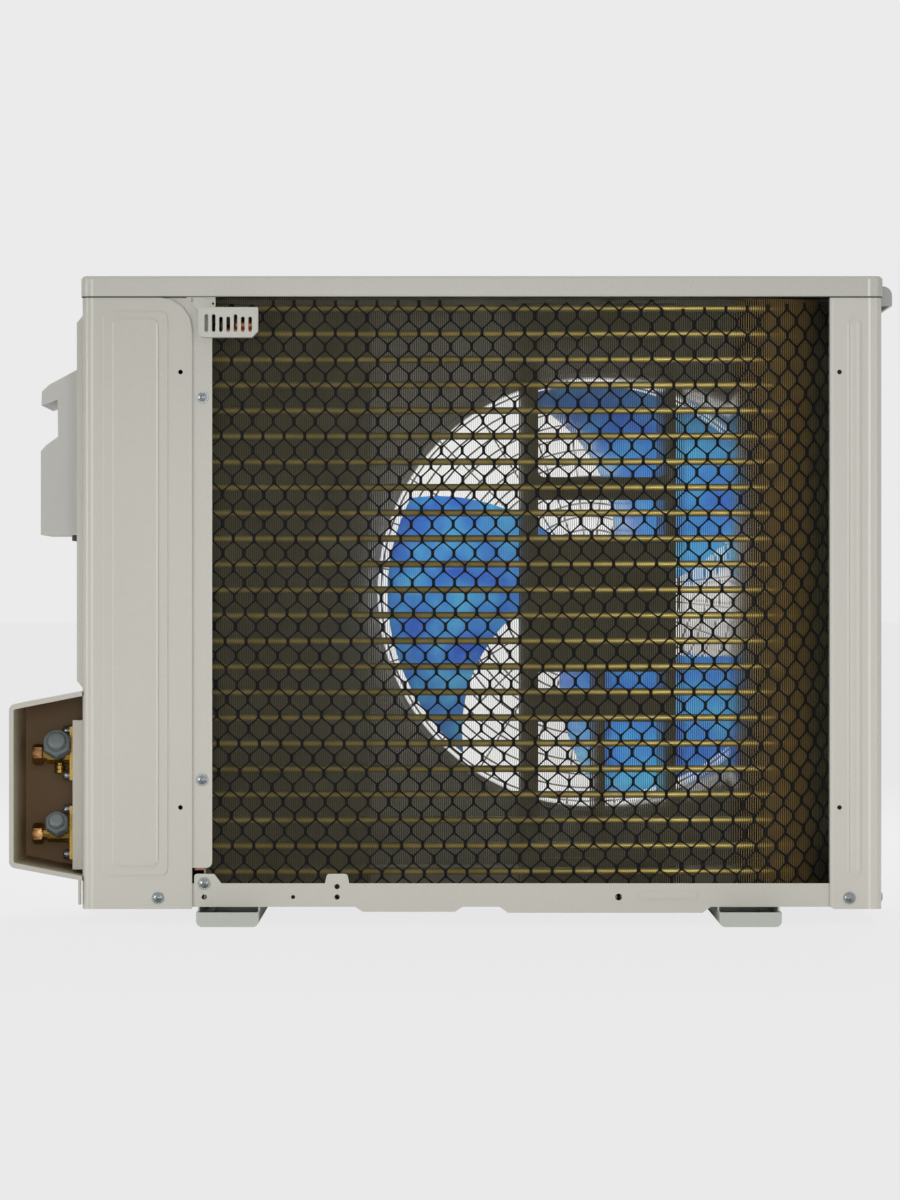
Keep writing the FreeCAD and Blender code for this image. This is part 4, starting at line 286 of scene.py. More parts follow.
PAINT_ROUGH = 0.3
PAINT = (0.50, 0.488, 0.432)
# The casing paint made a little lighter on the post, as painted light from the right
POST_PAINT_LIT = (0.525, 0.512, 0.458)
# Shares of the colour at the foot and at the top: painted light that makes the paint lighter near the foot
PAINT_HEIGHT_LIGHT = (1.18, 0.92)
POST_HEIGHT_LIGHT = (1.16, 1.0)
HOOD_HEIGHT_LIGHT = (1.05, 1.0)


def painted(name, color, height_light, specular=0.5):
    look = {"spread": 0.012, "grain": 1100.0, "depth": 0.012}
    return surface(name, color, PAINT_ROUGH, height_light=height_light, specular=specular, **look)


paint = painted("casing_paint", PAINT, PAINT_HEIGHT_LIGHT)
foot_paint = surface("foot_paint", (0.50, 0.52, 0.47), 0.4, spread=0.03, grain=700.0)
plate_paint = surface("plate_paint", (0.52, 0.495, 0.43), 0.45, spread=0.03, grain=900.0)
guard_paint = surface("guard_paint", (0.16, 0.155, 0.12), 0.5, spread=0.05, grain=700.0)
motor_paint = surface("motor_paint", (0.03, 0.032, 0.034), 0.5, spread=0.1, grain=800.0)
black_paint = surface("compressor_paint", (0.02, 0.02, 0.02), 0.45, spread=0.1, grain=600.0)

cover_plastic = surface("cover_plastic", (0.45, 0.445, 0.415), 0.5, spread=0.012, grain=1600.0)
grip_plastic = surface("grip_plastic", (0.40, 0.41, 0.40), 0.5, spread=0.02, grain=1600.0, depth=0.03)
holder_plastic = surface("holder_plastic", (0.49, 0.485, 0.44), 0.45, spread=0.015, grain=1500.0)
black_plastic = surface("terminal_plastic", (0.035, 0.035, 0.035), 0.55, spread=0.1, grain=1200.0)
case_plastic = surface("capacitor_case", (0.55, 0.55, 0.53), 0.5, spread=0.03, grain=1200.0)
cap_plastic = surface(
    "flare_cap_plastic", (0.125, 0.145, 0.15), 0.42, spread=0.06, grain=1300.0, patch=60.0
)
net_plastic = surface("net_plastic", (0.007, 0.006, 0.006), 0.75, spread=0.1, specular=0.2)
rubber = surface("mount_rubber", (0.03, 0.03, 0.03), 0.75, spread=0.1)
laminate = surface("board_laminate", (0.04, 0.18, 0.09), 0.4, spread=0.1, grain=700.0)

sheet_zinc = surface(
    "galvanised_steel", (0.30, 0.30, 0.28), 0.45, 0.8, spread=0.18, grain=160.0, patch=60.0
)
dark_steel = surface("dark_steel", (0.09, 0.08, 0.055), 0.55, 0.2, spread=0.2, grain=400.0)
# Galvanised steel made darker and olive for the partition, as painted shade behind the coil
shaded_olive_steel = surface("shaded_olive_steel", (0.15, 0.135, 0.085), 0.45, 0.4, spread=0.15, grain=300.0, patch=20.0)
zinc = surface("zinc_steel", (0.25, 0.27, 0.275), 0.3, 0.85, spread=0.1, patch=300.0)
copper = surface("copper_tube", (0.40, 0.19, 0.10), 0.38, 1.0, spread=0.12, grain=300.0, patch=40.0)
probe_copper = surface("probe_copper", (0.50, 0.17, 0.08), 0.45, 0.6, spread=0.12, grain=300.0, patch=40.0)
brass = surface("valve_brass", (0.37, 0.235, 0.06), 0.3, 1.0, spread=0.12, grain=800.0, patch=120.0)
cap_brass = surface(
    "stem_cap_brass", (0.43, 0.235, 0.10), 0.34, 1.0, spread=0.12, grain=800.0, patch=120.0
)


COIL_METAL = 0.5
# Places across in metres where the painted light in the coil's bend begins to show brown, is brownest and
# has gone dark
BEND_START = 0.235
BEND_BROWN = 0.285
BEND_DARK = 0.335
BEND_FADE = 0.02
# Colours on the coil's flat, with painted light in its bend, and beyond it
SHEET_COLORS_AND_BEND_LIGHT = ((0.105, 0.078, 0.030), (0.30, 0.20, 0.07), (0.11, 0.10, 0.06))
EDGE_COLORS_AND_BEND_LIGHT = ((0.41, 0.365, 0.225), (0.76, 0.56, 0.27), (0.36, 0.34, 0.22))


def fin_material(name, colors, rough, specular):
    """Fins with painted light that turns them brown in the coil's bend, and dark beyond it."""
    flat, brown, dark = colors
    look = {"spread": 0.15, "grain": 500.0, "depth": 0.001, "patch": 40.0}
    mat = surface(name, flat, rough, COIL_METAL, specular=specular, **look)
    tree, shader, tint = parts_of(mat)
    across = object_axes(tree)[0]
    bend_light_share = remap(tree, across, 0.0, 1.0, BEND_START, BEND_BROWN)
    darker = remap(tree, across, 0.0, 1.0, BEND_DARK - BEND_FADE, BEND_DARK)
    # Painted light: brown in the coil's bend
    tint = blend_colors(tree, bend_light_share, tint, brown)
    tint = blend_colors(tree, darker, tint, dark)
    tree.links.new(tint, shader.inputs["Base Color"])
    return mat


fin_sheet = fin_material("coil_fins", SHEET_COLORS_AND_BEND_LIGHT, 0.13, 0.5)
fin_edge = fin_material("fin_edges", EDGE_COLORS_AND_BEND_LIGHT, 0.45, 0.2)


# Painted highlights along upright folds: place across, half width, strength, lowest and highest point
SERVICE_FOLD_HIGHLIGHTS = [
    (-396.7, 1.6, 0.5, 0.0, 650.0),
    (-385.6, 1.3, 0.25, 54.0, 609.0),
    (-375.9, 1.3, 0.4, 62.0, 602.0),
    (-331.5, 1.4, 0.5, 62.0, 602.0),
    (-321.0, 1.2, 0.25, 54.0, 609.0),
]
POST_FOLD_HIGHLIGHTS = [
    (344.0, 1.2, 0.2, 0.0, 650.0),
    (359.5, 1.4, 0.45, 54.0, 602.0),
    (363.3, 1.3, 0.2, 58.0, 598.0),
    (368.7, 1.3, 0.3, 54.0, 602.0),
    (380.7, 1.8, 0.8, 0.0, 650.0),
    (391.5, 1.2, 0.25, 0.0, 650.0),
]
COVER_FOLD_HIGHLIGHTS = [
    (-396.7, 1.6, 0.5, 0.0, 646.0),
    (380.2, 1.8, 0.8, 0.0, 646.0),
]
# Colour of the painted highlights along the folds
FOLD_PAINTED_HIGHLIGHT = (0.80, 0.785, 0.71)
FOLD_REAR = -140.0
SEAM_SHADE = (0.05, 0.045, 0.035)
SEAM_HALF = 0.8


def paint_with_painted_light(name, color, height_light, fold_highlights):
    """Paint with a painted highlight along each fold on the rear and a painted shadow in the seam where
    the cover ends.
    """
    mat = painted(name, color, height_light)
    tree, shader, tint = parts_of(mat)
    x, y, z = object_axes(tree)
    rear = within(tree, y, FOLD_REAR * MM, False)
    for place, half, strength, low, high in fold_highlights:
        line = remap(tree, distance_from(tree, x, place * MM), strength, 0.0, 0.0, half * MM)
        share = arithmetic(tree, "MULTIPLY", line, rear)
        for limit, above in ((low, True), (high, False)):
            share = arithmetic(tree, "MULTIPLY", share, within(tree, z, limit * MM, above))
        # Painted highlight along the fold
        tint = blend_colors(tree, share, tint, FOLD_PAINTED_HIGHLIGHT)
    # Painted shadow in the seam under the cover's edge
    seam = within(tree, distance_from(tree, z, SKIRT * MM), SEAM_HALF * MM, False)
    tint = blend_colors(tree, seam, tint, SEAM_SHADE)
    tree.links.new(tint, shader.inputs["Base Color"])
    return mat


service_paint = paint_with_painted_light("service_paint", PAINT, PAINT_HEIGHT_LIGHT, SERVICE_FOLD_HIGHLIGHTS)
post_paint = paint_with_painted_light("post_paint", POST_PAINT_LIT, POST_HEIGHT_LIGHT, POST_FOLD_HIGHLIGHTS)
cover_paint = paint_with_painted_light("cover_paint", PAINT, PAINT_HEIGHT_LIGHT, COVER_FOLD_HIGHLIGHTS)


# Inside of the valve hood, in metres: its mouth, its front wall, both faces of its outer wall, and its
# slanting top and bottom
HOOD_MOUTH = -0.1493
HOOD_FRONT = -0.0225
HOOD_OUTER = -0.4775
HOOD_WALL = -0.4735
HOOD_TOP = 0.3083
HOOD_BOTTOM = -0.0305
HOOD_SLANT = 0.19
# Depths at which the painted shade inside and on the outer wall is full
INSIDE_DEEP = -0.06
WALL_DEEP = -0.03
# Painted light at the hood's mouth, and the browns where the painted shade inside is full
HOOD_MOUTH_LIT = (0.62, 0.59, 0.45)
INSIDE_SHADED_BROWN = (0.33, 0.20, 0.085)
WALL_SHADED_BROWN = (0.36, 0.22, 0.10)


def hood_material():
    """Painted outside; inside, painted shade that deepens from a painted lit colour at the mouth to brown.
    """
    mat = painted("hood_paint", PAINT, HOOD_HEIGHT_LIGHT, specular=0.2)
    tree, shader, outside = parts_of(mat)
    x, y, z = object_axes(tree)
    slanted = arithmetic(tree, "MULTIPLY", x, HOOD_SLANT)
    mask = within(tree, y, HOOD_MOUTH, True)
    for value, limit, above in (
        (y, HOOD_FRONT, False),
        (x, HOOD_OUTER, True),
        (arithmetic(tree, "SUBTRACT", z, slanted), HOOD_TOP, False),
        (arithmetic(tree, "ADD", z, slanted), HOOD_BOTTOM, True),
    ):
        mask = arithmetic(tree, "MULTIPLY", mask, within(tree, value, limit, above))
    # Painted shade: the colour turns from the lit mouth to brown deeper in
    deep = remap(tree, y, 0.0, 1.0, HOOD_MOUTH, INSIDE_DEEP)
    wall_deep = remap(tree, y, 0.0, 1.0, HOOD_MOUTH, WALL_DEEP)
    inside = blend_colors(tree, deep, HOOD_MOUTH_LIT, INSIDE_SHADED_BROWN)
    wall = blend_colors(tree, wall_deep, HOOD_MOUTH_LIT, WALL_SHADED_BROWN)
    inside = blend_colors(tree, within(tree, x, HOOD_WALL, False), inside, wall)
    tree.links.new(blend_colors(tree, mask, outside, inside), shader.inputs["Base Color"])
    return mat


hood_paint = hood_material()


# Tube colours, roughness, and the shares of the radius between which the shade above and below sets in
TUBE_DULL = (0.76, 0.57, 0.12)
TUBE_BRIGHT = (1.0, 0.79, 0.21)
TUBE_SHADE = (0.10, 0.075, 0.02)
TUBE_ROUGH = (0.27, 0.42)
SHADE_START = 0.25
SHADE_END = 0.95
# The middle of the lit line between the painted shade above and below, as a share of the pitch
TUBE_MIDDLE = 0.49


def tube_material():
    """Gold collars round the tubes, with painted shade above and below each tube."""
    mat, tree, shader = new_material("coil_tubes")
    height = object_axes(tree)[2]
    shifted = arithmetic(tree, "SUBTRACT", height, (TUBE_LOWEST - TUBE_PITCH / 2) * MM)
    turns = arithmetic(tree, "DIVIDE", shifted, TUBE_PITCH * MM)
    off = distance_from(tree, arithmetic(tree, "FRACT", turns, 0.0), TUBE_MIDDLE)
    edge = TUBE_RADIUS / TUBE_PITCH
    shade = remap(tree, off, 0.0, 1.0, edge * SHADE_START, edge * SHADE_END)
    drift = remap(tree, noise(tree, 40.0, 3.0, 0.5), 0.0, 1.0)
    gold = blend_colors(tree, drift, TUBE_DULL, TUBE_BRIGHT)
    fine = noise(tree, 700.0, 2.0, 0.5)
    # Painted shade above and below each tube
    tree.links.new(blend_colors(tree, shade, gold, TUBE_SHADE), shader.inputs["Base Color"])
    tree.links.new(remap(tree, fine, *TUBE_ROUGH), shader.inputs["Roughness"])
    shader.inputs["Metallic"].default_value = COIL_METAL
    bump(tree, shader, fine, 0.3, 0.02 * MM)
    return mat


# Reach of the outlet's bright lip from the fan's axis
LIP_REACH = 234.5
# Colour of the painted shade on the panel's inner side
INSIDE_PAINTED_SHADE = (0.035, 0.032, 0.022)
# A face gets the painted shade where the Y of its direction is below the first, and keeps its paint where
# it is above the second
FACING_IN = -0.6
FACING_SIDEWAYS = -0.4


def panel_material():
    """Painted outside; painted shade on the side that faces the machine, apart from the outlet's lip."""
    mat = painted("front_paint", PAINT, PAINT_HEIGHT_LIGHT)
    tree, shader, outside = parts_of(mat)
    coords = tree.nodes.new("ShaderNodeTexCoord")
    facing = tree.nodes.new("ShaderNodeSeparateXYZ")
    tree.links.new(coords.outputs["Normal"], facing.inputs["Vector"])
    inward = remap(tree, facing.outputs["Y"], 1.0, 0.0, FACING_IN, FACING_SIDEWAYS)
    flat = tree.nodes.new("ShaderNodeVectorMath")
    flat.operation = "MULTIPLY"
    flat.inputs[1].default_value = (1, 0, 1)
    tree.links.new(coords.outputs["Object"], flat.inputs[0])
    reach = tree.nodes.new("ShaderNodeVectorMath")
    reach.operation = "DISTANCE"
    reach.inputs[1].default_value = (FAN_X * MM, 0.0, FAN_Z * MM)
    tree.links.new(flat.outputs["Vector"], reach.inputs[0])
    far = within(tree, reach.outputs["Value"], LIP_REACH * MM, True)
    mask = arithmetic(tree, "MULTIPLY", inward, far)
    tree.links.new(blend_colors(tree, mask, outside, INSIDE_PAINTED_SHADE), shader.inputs["Base Color"])
    return mat


front_paint = panel_material()


# Two blues of the plastic, the same two with light behind them, and the share of light that comes through
FAN_BLUES = ((0.05, 0.22, 0.66), (0.14, 0.50, 0.80))
LIT_BLUES = ((0.10, 0.33, 0.84), (0.33, 0.80, 0.95))
LIGHT_THROUGH = 0.8
FAN_ROUGH = 0.3


def fan_material():
    """Blue moulded plastic that lets some light through."""
    mat, tree, shader = new_material("fan_plastic")
    drift = remap(tree, noise(tree, 22.0, 3.0, 0.6), 0.0, 1.0)
    fine = noise(tree, 1200.0, 2.0, 0.5)
    tree.links.new(blend_colors(tree, drift, *FAN_BLUES), shader.inputs["Base Color"])
    shader.inputs["Roughness"].default_value = FAN_ROUGH
    bump(tree, shader, fine, 0.3, 0.01 * MM)
    through = tree.nodes.new("ShaderNodeBsdfTranslucent")
    tree.links.new(blend_colors(tree, drift, *LIT_BLUES), through.inputs["Color"])
    mix_shaders(tree, LIGHT_THROUGH, shader.outputs["BSDF"], through.outputs["BSDF"], "Material Output")
    return mat


NODE_MATERIALS = {
    "top_cover": cover_paint,
    "service_panel": service_paint,
    "coil_side_panel": post_paint,
    "front_panel": front_paint,
    "base_pan": paint,
    "valve_cover": hood_paint,
    "foot_rail_left": foot_paint,
    "foot_rail_right": foot_paint,
    "valve_plate": plate_paint,
    "terminal_cover": cover_plastic,
    "side_handle": grip_plastic,
    "partition_plate": shaded_olive_steel,
    "motor_bracket": dark_steel,
    "motor_mount_plate": dark_steel,
    "electrical_box": sheet_zinc,
    "coil_end_plate_left": sheet_zinc,
    "coil_end_plate_front": sheet_zinc,
    "coil_return_bends": copper,
    "discharge_pipe": copper,
    "suction_pipe": copper,
    "liquid_pipe": copper,
    "ambient_sensor": probe_copper,
    "propeller_fan": fan_material(),
    "fan_motor": motor_paint,
    "motor_shaft": zinc,
    "fan_nut": zinc,
    "compressor_nuts": zinc,
    "gas_valve_stem": zinc,
    "liquid_valve_stem": zinc,
    "compressor": black_paint,
    "accumulator": black_paint,
    "compressor_grommets": rubber,
    "compressor_terminal_cover": black_plastic,
    "terminal_block": black_plastic,
    "cable_clamp": black_plastic,
    "control_board": laminate,
    "run_capacitor": case_plastic,
    "gas_valve": brass,
    "liquid_valve": brass,
}
for name, mat in NODE_MATERIALS.items():
    for material_slot in nodes[name].material_slots:
        material_slot.material = mat


# Mesh building

HEXA_FACES = ((0, 3, 2, 1), (4, 5, 6, 7), (0, 1, 5, 4), (1, 2, 6, 5), (2, 3, 7, 6), (3, 0, 4, 7))
# Angles in degrees above which an edge stays sharp: on small round pieces and on screws
CREASE = 28
SCREW_CREASE = 40
# A stretch of a bar counts as upright where its sideways part is below this
UPRIGHT = 0.05


def piece(name, verts, faces, mat, body, smooth=False):
    """A mesh in millimetres, made into a piece that rides on a body."""
    mesh = bpy.data.meshes.new(name)
    mesh.from_pydata([(x * MM, y * MM, z * MM) for x, y, z in verts], [], faces)
    mesh.update()
    if smooth:
        for polygon in mesh.polygons:
            polygon.use_smooth = True
    mesh.materials.append(mat)
    obj = bpy.data.objects.new(name, mesh)
    bpy.context.scene.collection.objects.link(obj)
    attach(obj, body)
    return obj


class Builder:
    """Collects vertices and faces of many small solids, in millimetres."""

    def __init__(self):
        self.verts = []
        self.faces = []

    def hexa(self, corners):
        """A solid with eight corners: four below, then the four above them."""
        start = len(self.verts)
        self.verts.extend(corners)
        for face in HEXA_FACES:
            self.faces.append([start + i for i in face])

    def tube(self, points, radius, sides=8, closed=False):
        """A round bar along points; radius is a number or one for each point."""
        count = len(points)
        start = len(self.verts)
        for i, point in enumerate(points):
            before = points[(i - 1) % count] if closed or i > 0 else point
            after = points[(i + 1) % count] if closed or i < count - 1 else point
            way = (Vector(after) - Vector(before)).normalized()
            side = way.cross(Vector((0, 0, 1)))
            if side.length < UPRIGHT:
                side = way.cross(Vector((0, 1, 0)))
            side.normalize()
            up = side.cross(way).normalized()
            size = radius[i] if isinstance(radius, (list, tuple)) else radius
            for k in range(sides):
                turn = 2 * math.pi * (k + 0.5) / sides
                offset = side * (math.cos(turn) * size) + up * (math.sin(turn) * size)
                self.verts.append(tuple(Vector(point) + offset))
        rings = count if closed else count - 1
        for i in range(rings):
            a = start + i * sides
            b = start + ((i + 1) % count) * sides
            for k in range(sides):
                n = (k + 1) % sides
                self.faces.append([a + k, b + k, b + n, a + n])
        if not closed:
            self.caps(start, start + (count - 1) * sides, sides)

    def caps(self, first, last, sides):
        """Flat ends over the first and the last ring of a bar."""
        self.faces.append([first + k for k in range(sides)])
        self.faces.append([last + k for k in reversed(range(sides))])

    def turned(self, origin, way, up, rings, sides=48):
        """A solid turned about an axis.

        Each ring has its distance along the axis, half a hexagon's width or None, and the largest radius.
        """
        way = Vector(way).normalized()
        up = Vector(up).normalized()
        side = way.cross(up)
        start = len(self.verts)
        for distance, flats, limit in rings:
            centre = Vector(origin) + way * distance
            for k in range(sides):
                turn = 2 * math.pi * k / sides
                radius = limit
                if flats is not None:
                    radius = min(flats / math.cos(turn % (math.pi / 3) - math.pi / 6), limit)
                point = centre + up * (math.cos(turn) * radius) + side * (math.sin(turn) * radius)
                self.verts.append(tuple(point))
        self.skin(start, len(rings), sides)

    def skin(self, start, count, sides):
        """Faces over rings of vertices, with flat ends."""
        for i in range(count - 1):
            a = start + i * sides
            b = a + sides
            for k in range(sides):
                n = (k + 1) % sides
                self.faces.append([a + k, a + n, b + n, b + k])
        last = start + (count - 1) * sides
        self.faces.append([start + k for k in reversed(range(sides))])
        self.faces.append([last + k for k in range(sides)])

    def plate(self, outline, holes, rear, front):
        """A flat plate seen from the rear, with holes; loops hold (x, z) points."""
        loops = [outline] + holes
        flat = [[Vector((x, z, 0)) for x, z in loop] for loop in loops]
        points = [point for loop in loops for point in loop]
        start = len(self.verts)
        count = len(points)
        for y in (rear, front):
            self.verts.extend([(x, y, z) for x, z in points])
        for a, b, c in tessellate_polygon(flat):
            self.faces.append([start + a, start + b, start + c])
            self.faces.append([start + count + c, start + count + b, start + count + a])
        offset = start
        for loop in loops:
            size = len(loop)
            for k in range(size):
                n = (k + 1) % size
                self.faces.append([offset + k, offset + n, offset + count + n, offset + count + k])
            offset += size

    def make(self, name, mat, body, smooth=False, crease=None):
        """The piece itself; crease is the angle in degrees above which an edge stays sharp."""
        obj = piece(name, self.verts, self.faces, mat, body, smooth or crease is not None)
        mesh = obj.data
        work = bmesh.new()
        work.from_mesh(mesh)
        bmesh.ops.recalc_face_normals(work, faces=work.faces)
        work.to_mesh(mesh)
        work.free()
        if crease is not None:
            mesh.set_sharp_from_angle(angle=math.radians(crease))
        return obj


# Coil: thin fins on tubes, bent round the rear right corner


class Wrap:
    """The coil's outer face as a path seen from above, with an offset inwards."""

    def __init__(self, inset):
        self.inset = inset
        self.centre_x = COIL_RIGHT - COIL_BEND
        self.centre_y = COIL_REAR + COIL_BEND
        self.radius = COIL_BEND - inset
        self.straight = self.centre_x - COIL_LEFT
        self.arc = self.radius * math.pi / 2
        self.leg = COIL_END - self.centre_y

    def length(self):
        return self.straight + self.arc + self.leg

    def at(self, s):
        """Point on the path and its outward normal."""
        if s <= self.straight:
            return COIL_LEFT + s, COIL_REAR + self.inset, 0.0, -1.0
        if s <= self.straight + self.arc:
            turn = (s - self.straight) / self.radius
            nx, ny = math.sin(turn), -math.cos(turn)
            return self.centre_x + self.radius * nx, self.centre_y + self.radius * ny, nx, ny
        y = self.centre_y + (s - self.straight - self.arc)
        return COIL_RIGHT - self.inset, y, 1.0, 0.0


def coil_fins():
    """Fins with their narrow faces, the edges, in a colour of their own."""
    deep = COIL_DEPTH / 2
    half = FIN_SHEET / 2
    wrap = Wrap(deep)
    fins = Builder()
    for i in range(int(wrap.length() / FIN_PITCH)):
        x, y, nx, ny = wrap.at((i + 0.5) * FIN_PITCH)
        tx, ty = -ny, nx
        corners = []
        for z in (COIL_BOTTOM, COIL_TOP):
            for side, out in ((-half, -deep), (half, -deep), (half, deep), (-half, deep)):
                corners.append((x + tx * side + nx * out, y + ty * side + ny * out, z))
        fins.hexa(corners)
    obj = fins.make("fin_stack", fin_sheet, "casing")
    obj.data.materials.append(fin_edge)
    edge_area = FIN_SHEET * MM * (COIL_TOP - COIL_BOTTOM) * MM
    for polygon in obj.data.polygons:
        if polygon.area < edge_area * AREA_ROOM:
            polygon.material_index = 1
    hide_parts("coil_core")


def coil_tubes():
    wrap = Wrap(TUBE_INSET)
    steps = [0.0]
    steps += [wrap.straight + wrap.arc * i / BEND_STEPS for i in range(BEND_STEPS + 1)]
    steps.append(wrap.length())
    tubes = Builder()
    for i in range(TUBE_COUNT):
        z = TUBE_LOWEST + TUBE_PITCH * i
        path = [(*wrap.at(s)[:2], z) for s in steps]
        tubes.tube(path, TUBE_RADIUS, TUBE_SIDES)
    tubes.make("tube_runs", tube_material(), "casing", smooth=True)


# Net over the coil, in millimetres

NET_GAP = 0.2
NET_THICKNESS = 1.1
NET_KNOT = 5.4
# Widths along a knot and along a strand between two knots
KNOT_WIDTHS = (3.45, 3.0, 3.45)
STRAND_WIDTHS = (2.7, 1.75, 1.55, 1.55, 1.75, 2.7)
# Room to the coil's bottom and top, the net's left end, and the share of the bend that it covers
NET_ROOM_LOW = 1.0
NET_ROOM_HIGH = 2.0
NET_LEFT = -14.0
NET_BEND_SHARE = 0.9
NET_ROWS = range(-3, 45)
NET_COLUMNS = range(-2, 36)
# The net hangs a little askew: factors of 1, c, r, c squared, c r and r squared, where c and r count the
# knots across and upwards from the middle one
NET_MIDDLE = (14, 22)
NET_ACROSS = (8.53, 21.280, -0.426, 0.0140, -0.0083, 0.0098)
NET_UPWARD = (343.25, 0.452, 14.668, 0.0311, -0.0040, 0.0053)
NET_WOBBLE = 0.25
ROW_SEED = 977


def net_knot(row, column):
    """Middle of a knot: along the coil from its left end, and its height."""
    c = column + (row % 2) / 2 - NET_MIDDLE[0]
    r = row - NET_MIDDLE[1]
    terms = (1.0, c, r, c * c, c * r, r * r)
    wobble = random.Random(row * ROW_SEED + column)
    u = sum(factor * term for factor, term in zip(NET_ACROSS, terms)) - COIL_LEFT
    z = sum(factor * term for factor, term in zip(NET_UPWARD, terms))
    return u + wobble.uniform(-NET_WOBBLE, NET_WOBBLE), z + wobble.uniform(-NET_WOBBLE, NET_WOBBLE)


def net_strand(strands, wrap, lower, upper, widths):
    """A flat strand between two points on the coil's face, where both lie on the net."""
    (u0, z0), (u1, z1) = lower, upper
    if min(z0, z1) < COIL_BOTTOM + NET_ROOM_LOW or max(z0, z1) > COIL_TOP - NET_ROOM_HIGH:
        return
    if min(u0, u1) < NET_LEFT or max(u0, u1) > wrap.straight + wrap.arc * NET_BEND_SHARE:
        return
    du, dz = u1 - u0, z1 - z0
    size = math.hypot(du, dz)
    start = len(strands.verts)
    for i, width in enumerate(widths):
        share = i / (len(widths) - 1)
        pu, pz = -dz / size * width / 2, du / size * width / 2
        for out, sign in ((0, -1), (0, 1), (NET_THICKNESS, 1), (NET_THICKNESS, -1)):
            x, y, nx, ny = wrap.at(u0 + du * share + pu * sign)
            strands.verts.append((x + nx * out, y + ny * out, z0 + dz * share + pz * sign))
    strands.skin(start, len(widths), 4)


def net():
    wrap = Wrap(-NET_GAP)
    strands = Builder()
    half = NET_KNOT / 2
    for row in NET_ROWS:
        shift = row % 2
        for column in NET_COLUMNS:
            u, z = net_knot(row, column)
            net_strand(strands, wrap, (u, z - half), (u, z + half), KNOT_WIDTHS)
            for other in (column - 1 + shift, column + shift):
                next_u, next_z = net_knot(row + 1, other)
                net_strand(strands, wrap, (u, z + half), (next_u, next_z - half), STRAND_WIDTHS)
    obj = strands.make("net_strands", net_plastic, "casing")
    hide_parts("coil_net")


# Fan guard, in millimetres

GUARD_RIM = 240.0
GUARD_SHOULDER = 196.0
GUARD_HUB = 40.0
GUARD_FACE = box_mm("guard_rim")[1].y
GUARD_SEAT = 154.8
GUARD_WIRE = 2.4
GUARD_ROUND = 96
RING_PITCH = 14.3
RING_RADIUS = 1.0
SPOKES = 28
SPOKE_RADIUS = 0.9
# Length of each spoke under the disc
SPOKE_HIDDEN = 4.0
WIRE_SIDES = 6
DISC_BACK = 2.4
DISC_EDGE = 1.6
DISC_FRONT = 2.4
DISC_CHAMFER = 1.5
DISC_SIDES = 64


def guard_height(radius):
    """Height of the radial wires' middle over a radius."""
    flat = GUARD_FACE - GUARD_WIRE / 2
    if radius < GUARD_SHOULDER:
        return flat
    share = (radius - GUARD_SHOULDER) / (GUARD_RIM - GUARD_SHOULDER)
    return flat + (GUARD_SEAT - GUARD_FACE) * share


def fan_circle(radius, y):
    points = []
    for i in range(GUARD_ROUND):
        turn = 2 * math.pi * i / GUARD_ROUND
        points.append((FAN_X + radius * math.cos(turn), y, FAN_Z + radius * math.sin(turn)))
    return points


def guard_part(name, node, reaches, low, high):
    """Ring wires between two radii and the stretch of the radial wires over them."""
    wires = Builder()
    radius = GUARD_RIM - GUARD_WIRE / 2
    while radius > low:
        if radius < high:
            y = guard_height(radius) - GUARD_WIRE
            wires.tube(fan_circle(radius, y), RING_RADIUS, WIRE_SIDES, closed=True)
        radius -= RING_PITCH
    for i in range(SPOKES):
        turn = 2 * math.pi * (i + 0.5) / SPOKES
        points = []
        for reach in reaches:
            x = FAN_X + reach * math.cos(turn)
            z = FAN_Z + reach * math.sin(turn)
            points.append((x, guard_height(reach), z))
        wires.tube(points, SPOKE_RADIUS, WIRE_SIDES)
    obj = wires.make(name, guard_paint, "casing", smooth=True)
    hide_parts(node)


def guard():
    flat = (GUARD_HUB - SPOKE_HIDDEN, GUARD_SHOULDER)
    slope = (GUARD_SHOULDER, GUARD_RIM)
    guard_part("guard_wires", "fan_guard", flat, GUARD_HUB, GUARD_SHOULDER)
    guard_part("guard_slope", "guard_rim", slope, GUARD_SHOULDER, GUARD_RIM)
    disc = Builder()
    points = [(FAN_X, GUARD_FACE + y, FAN_Z) for y in (-DISC_BACK, DISC_EDGE, DISC_FRONT)]
    disc.tube(points, [GUARD_HUB, GUARD_HUB, GUARD_HUB - DISC_CHAMFER], DISC_SIDES)
    disc.make("guard_disc", guard_paint, "casing")


# Screws and bolts, in millimetres

SCREW_SIDES = 48
SCREW_RINGS = [0.3, 0.6, 0.9, 1.2, 1.5, 1.8, 2.1, 2.5, 3.0, 3.5, 3.9, 4.3, 4.6, 4.7, 5.5, 6.0, 6.2, 6.2]
SCREW_DOME = 4.6
DOME_HEIGHT = 2.75
DOME_FALL = 1.2
WASHER_TOP = 0.9
WASHER_EDGE = 0.5
WASHER_FOOT = -0.2
RECESS_ARM = 0.5
RECESS_REACH = 2.2
RECESS_DEPTH = 1.6
# Each cross recess is turned a little further than the one before
RECESS_TURN = 0.7

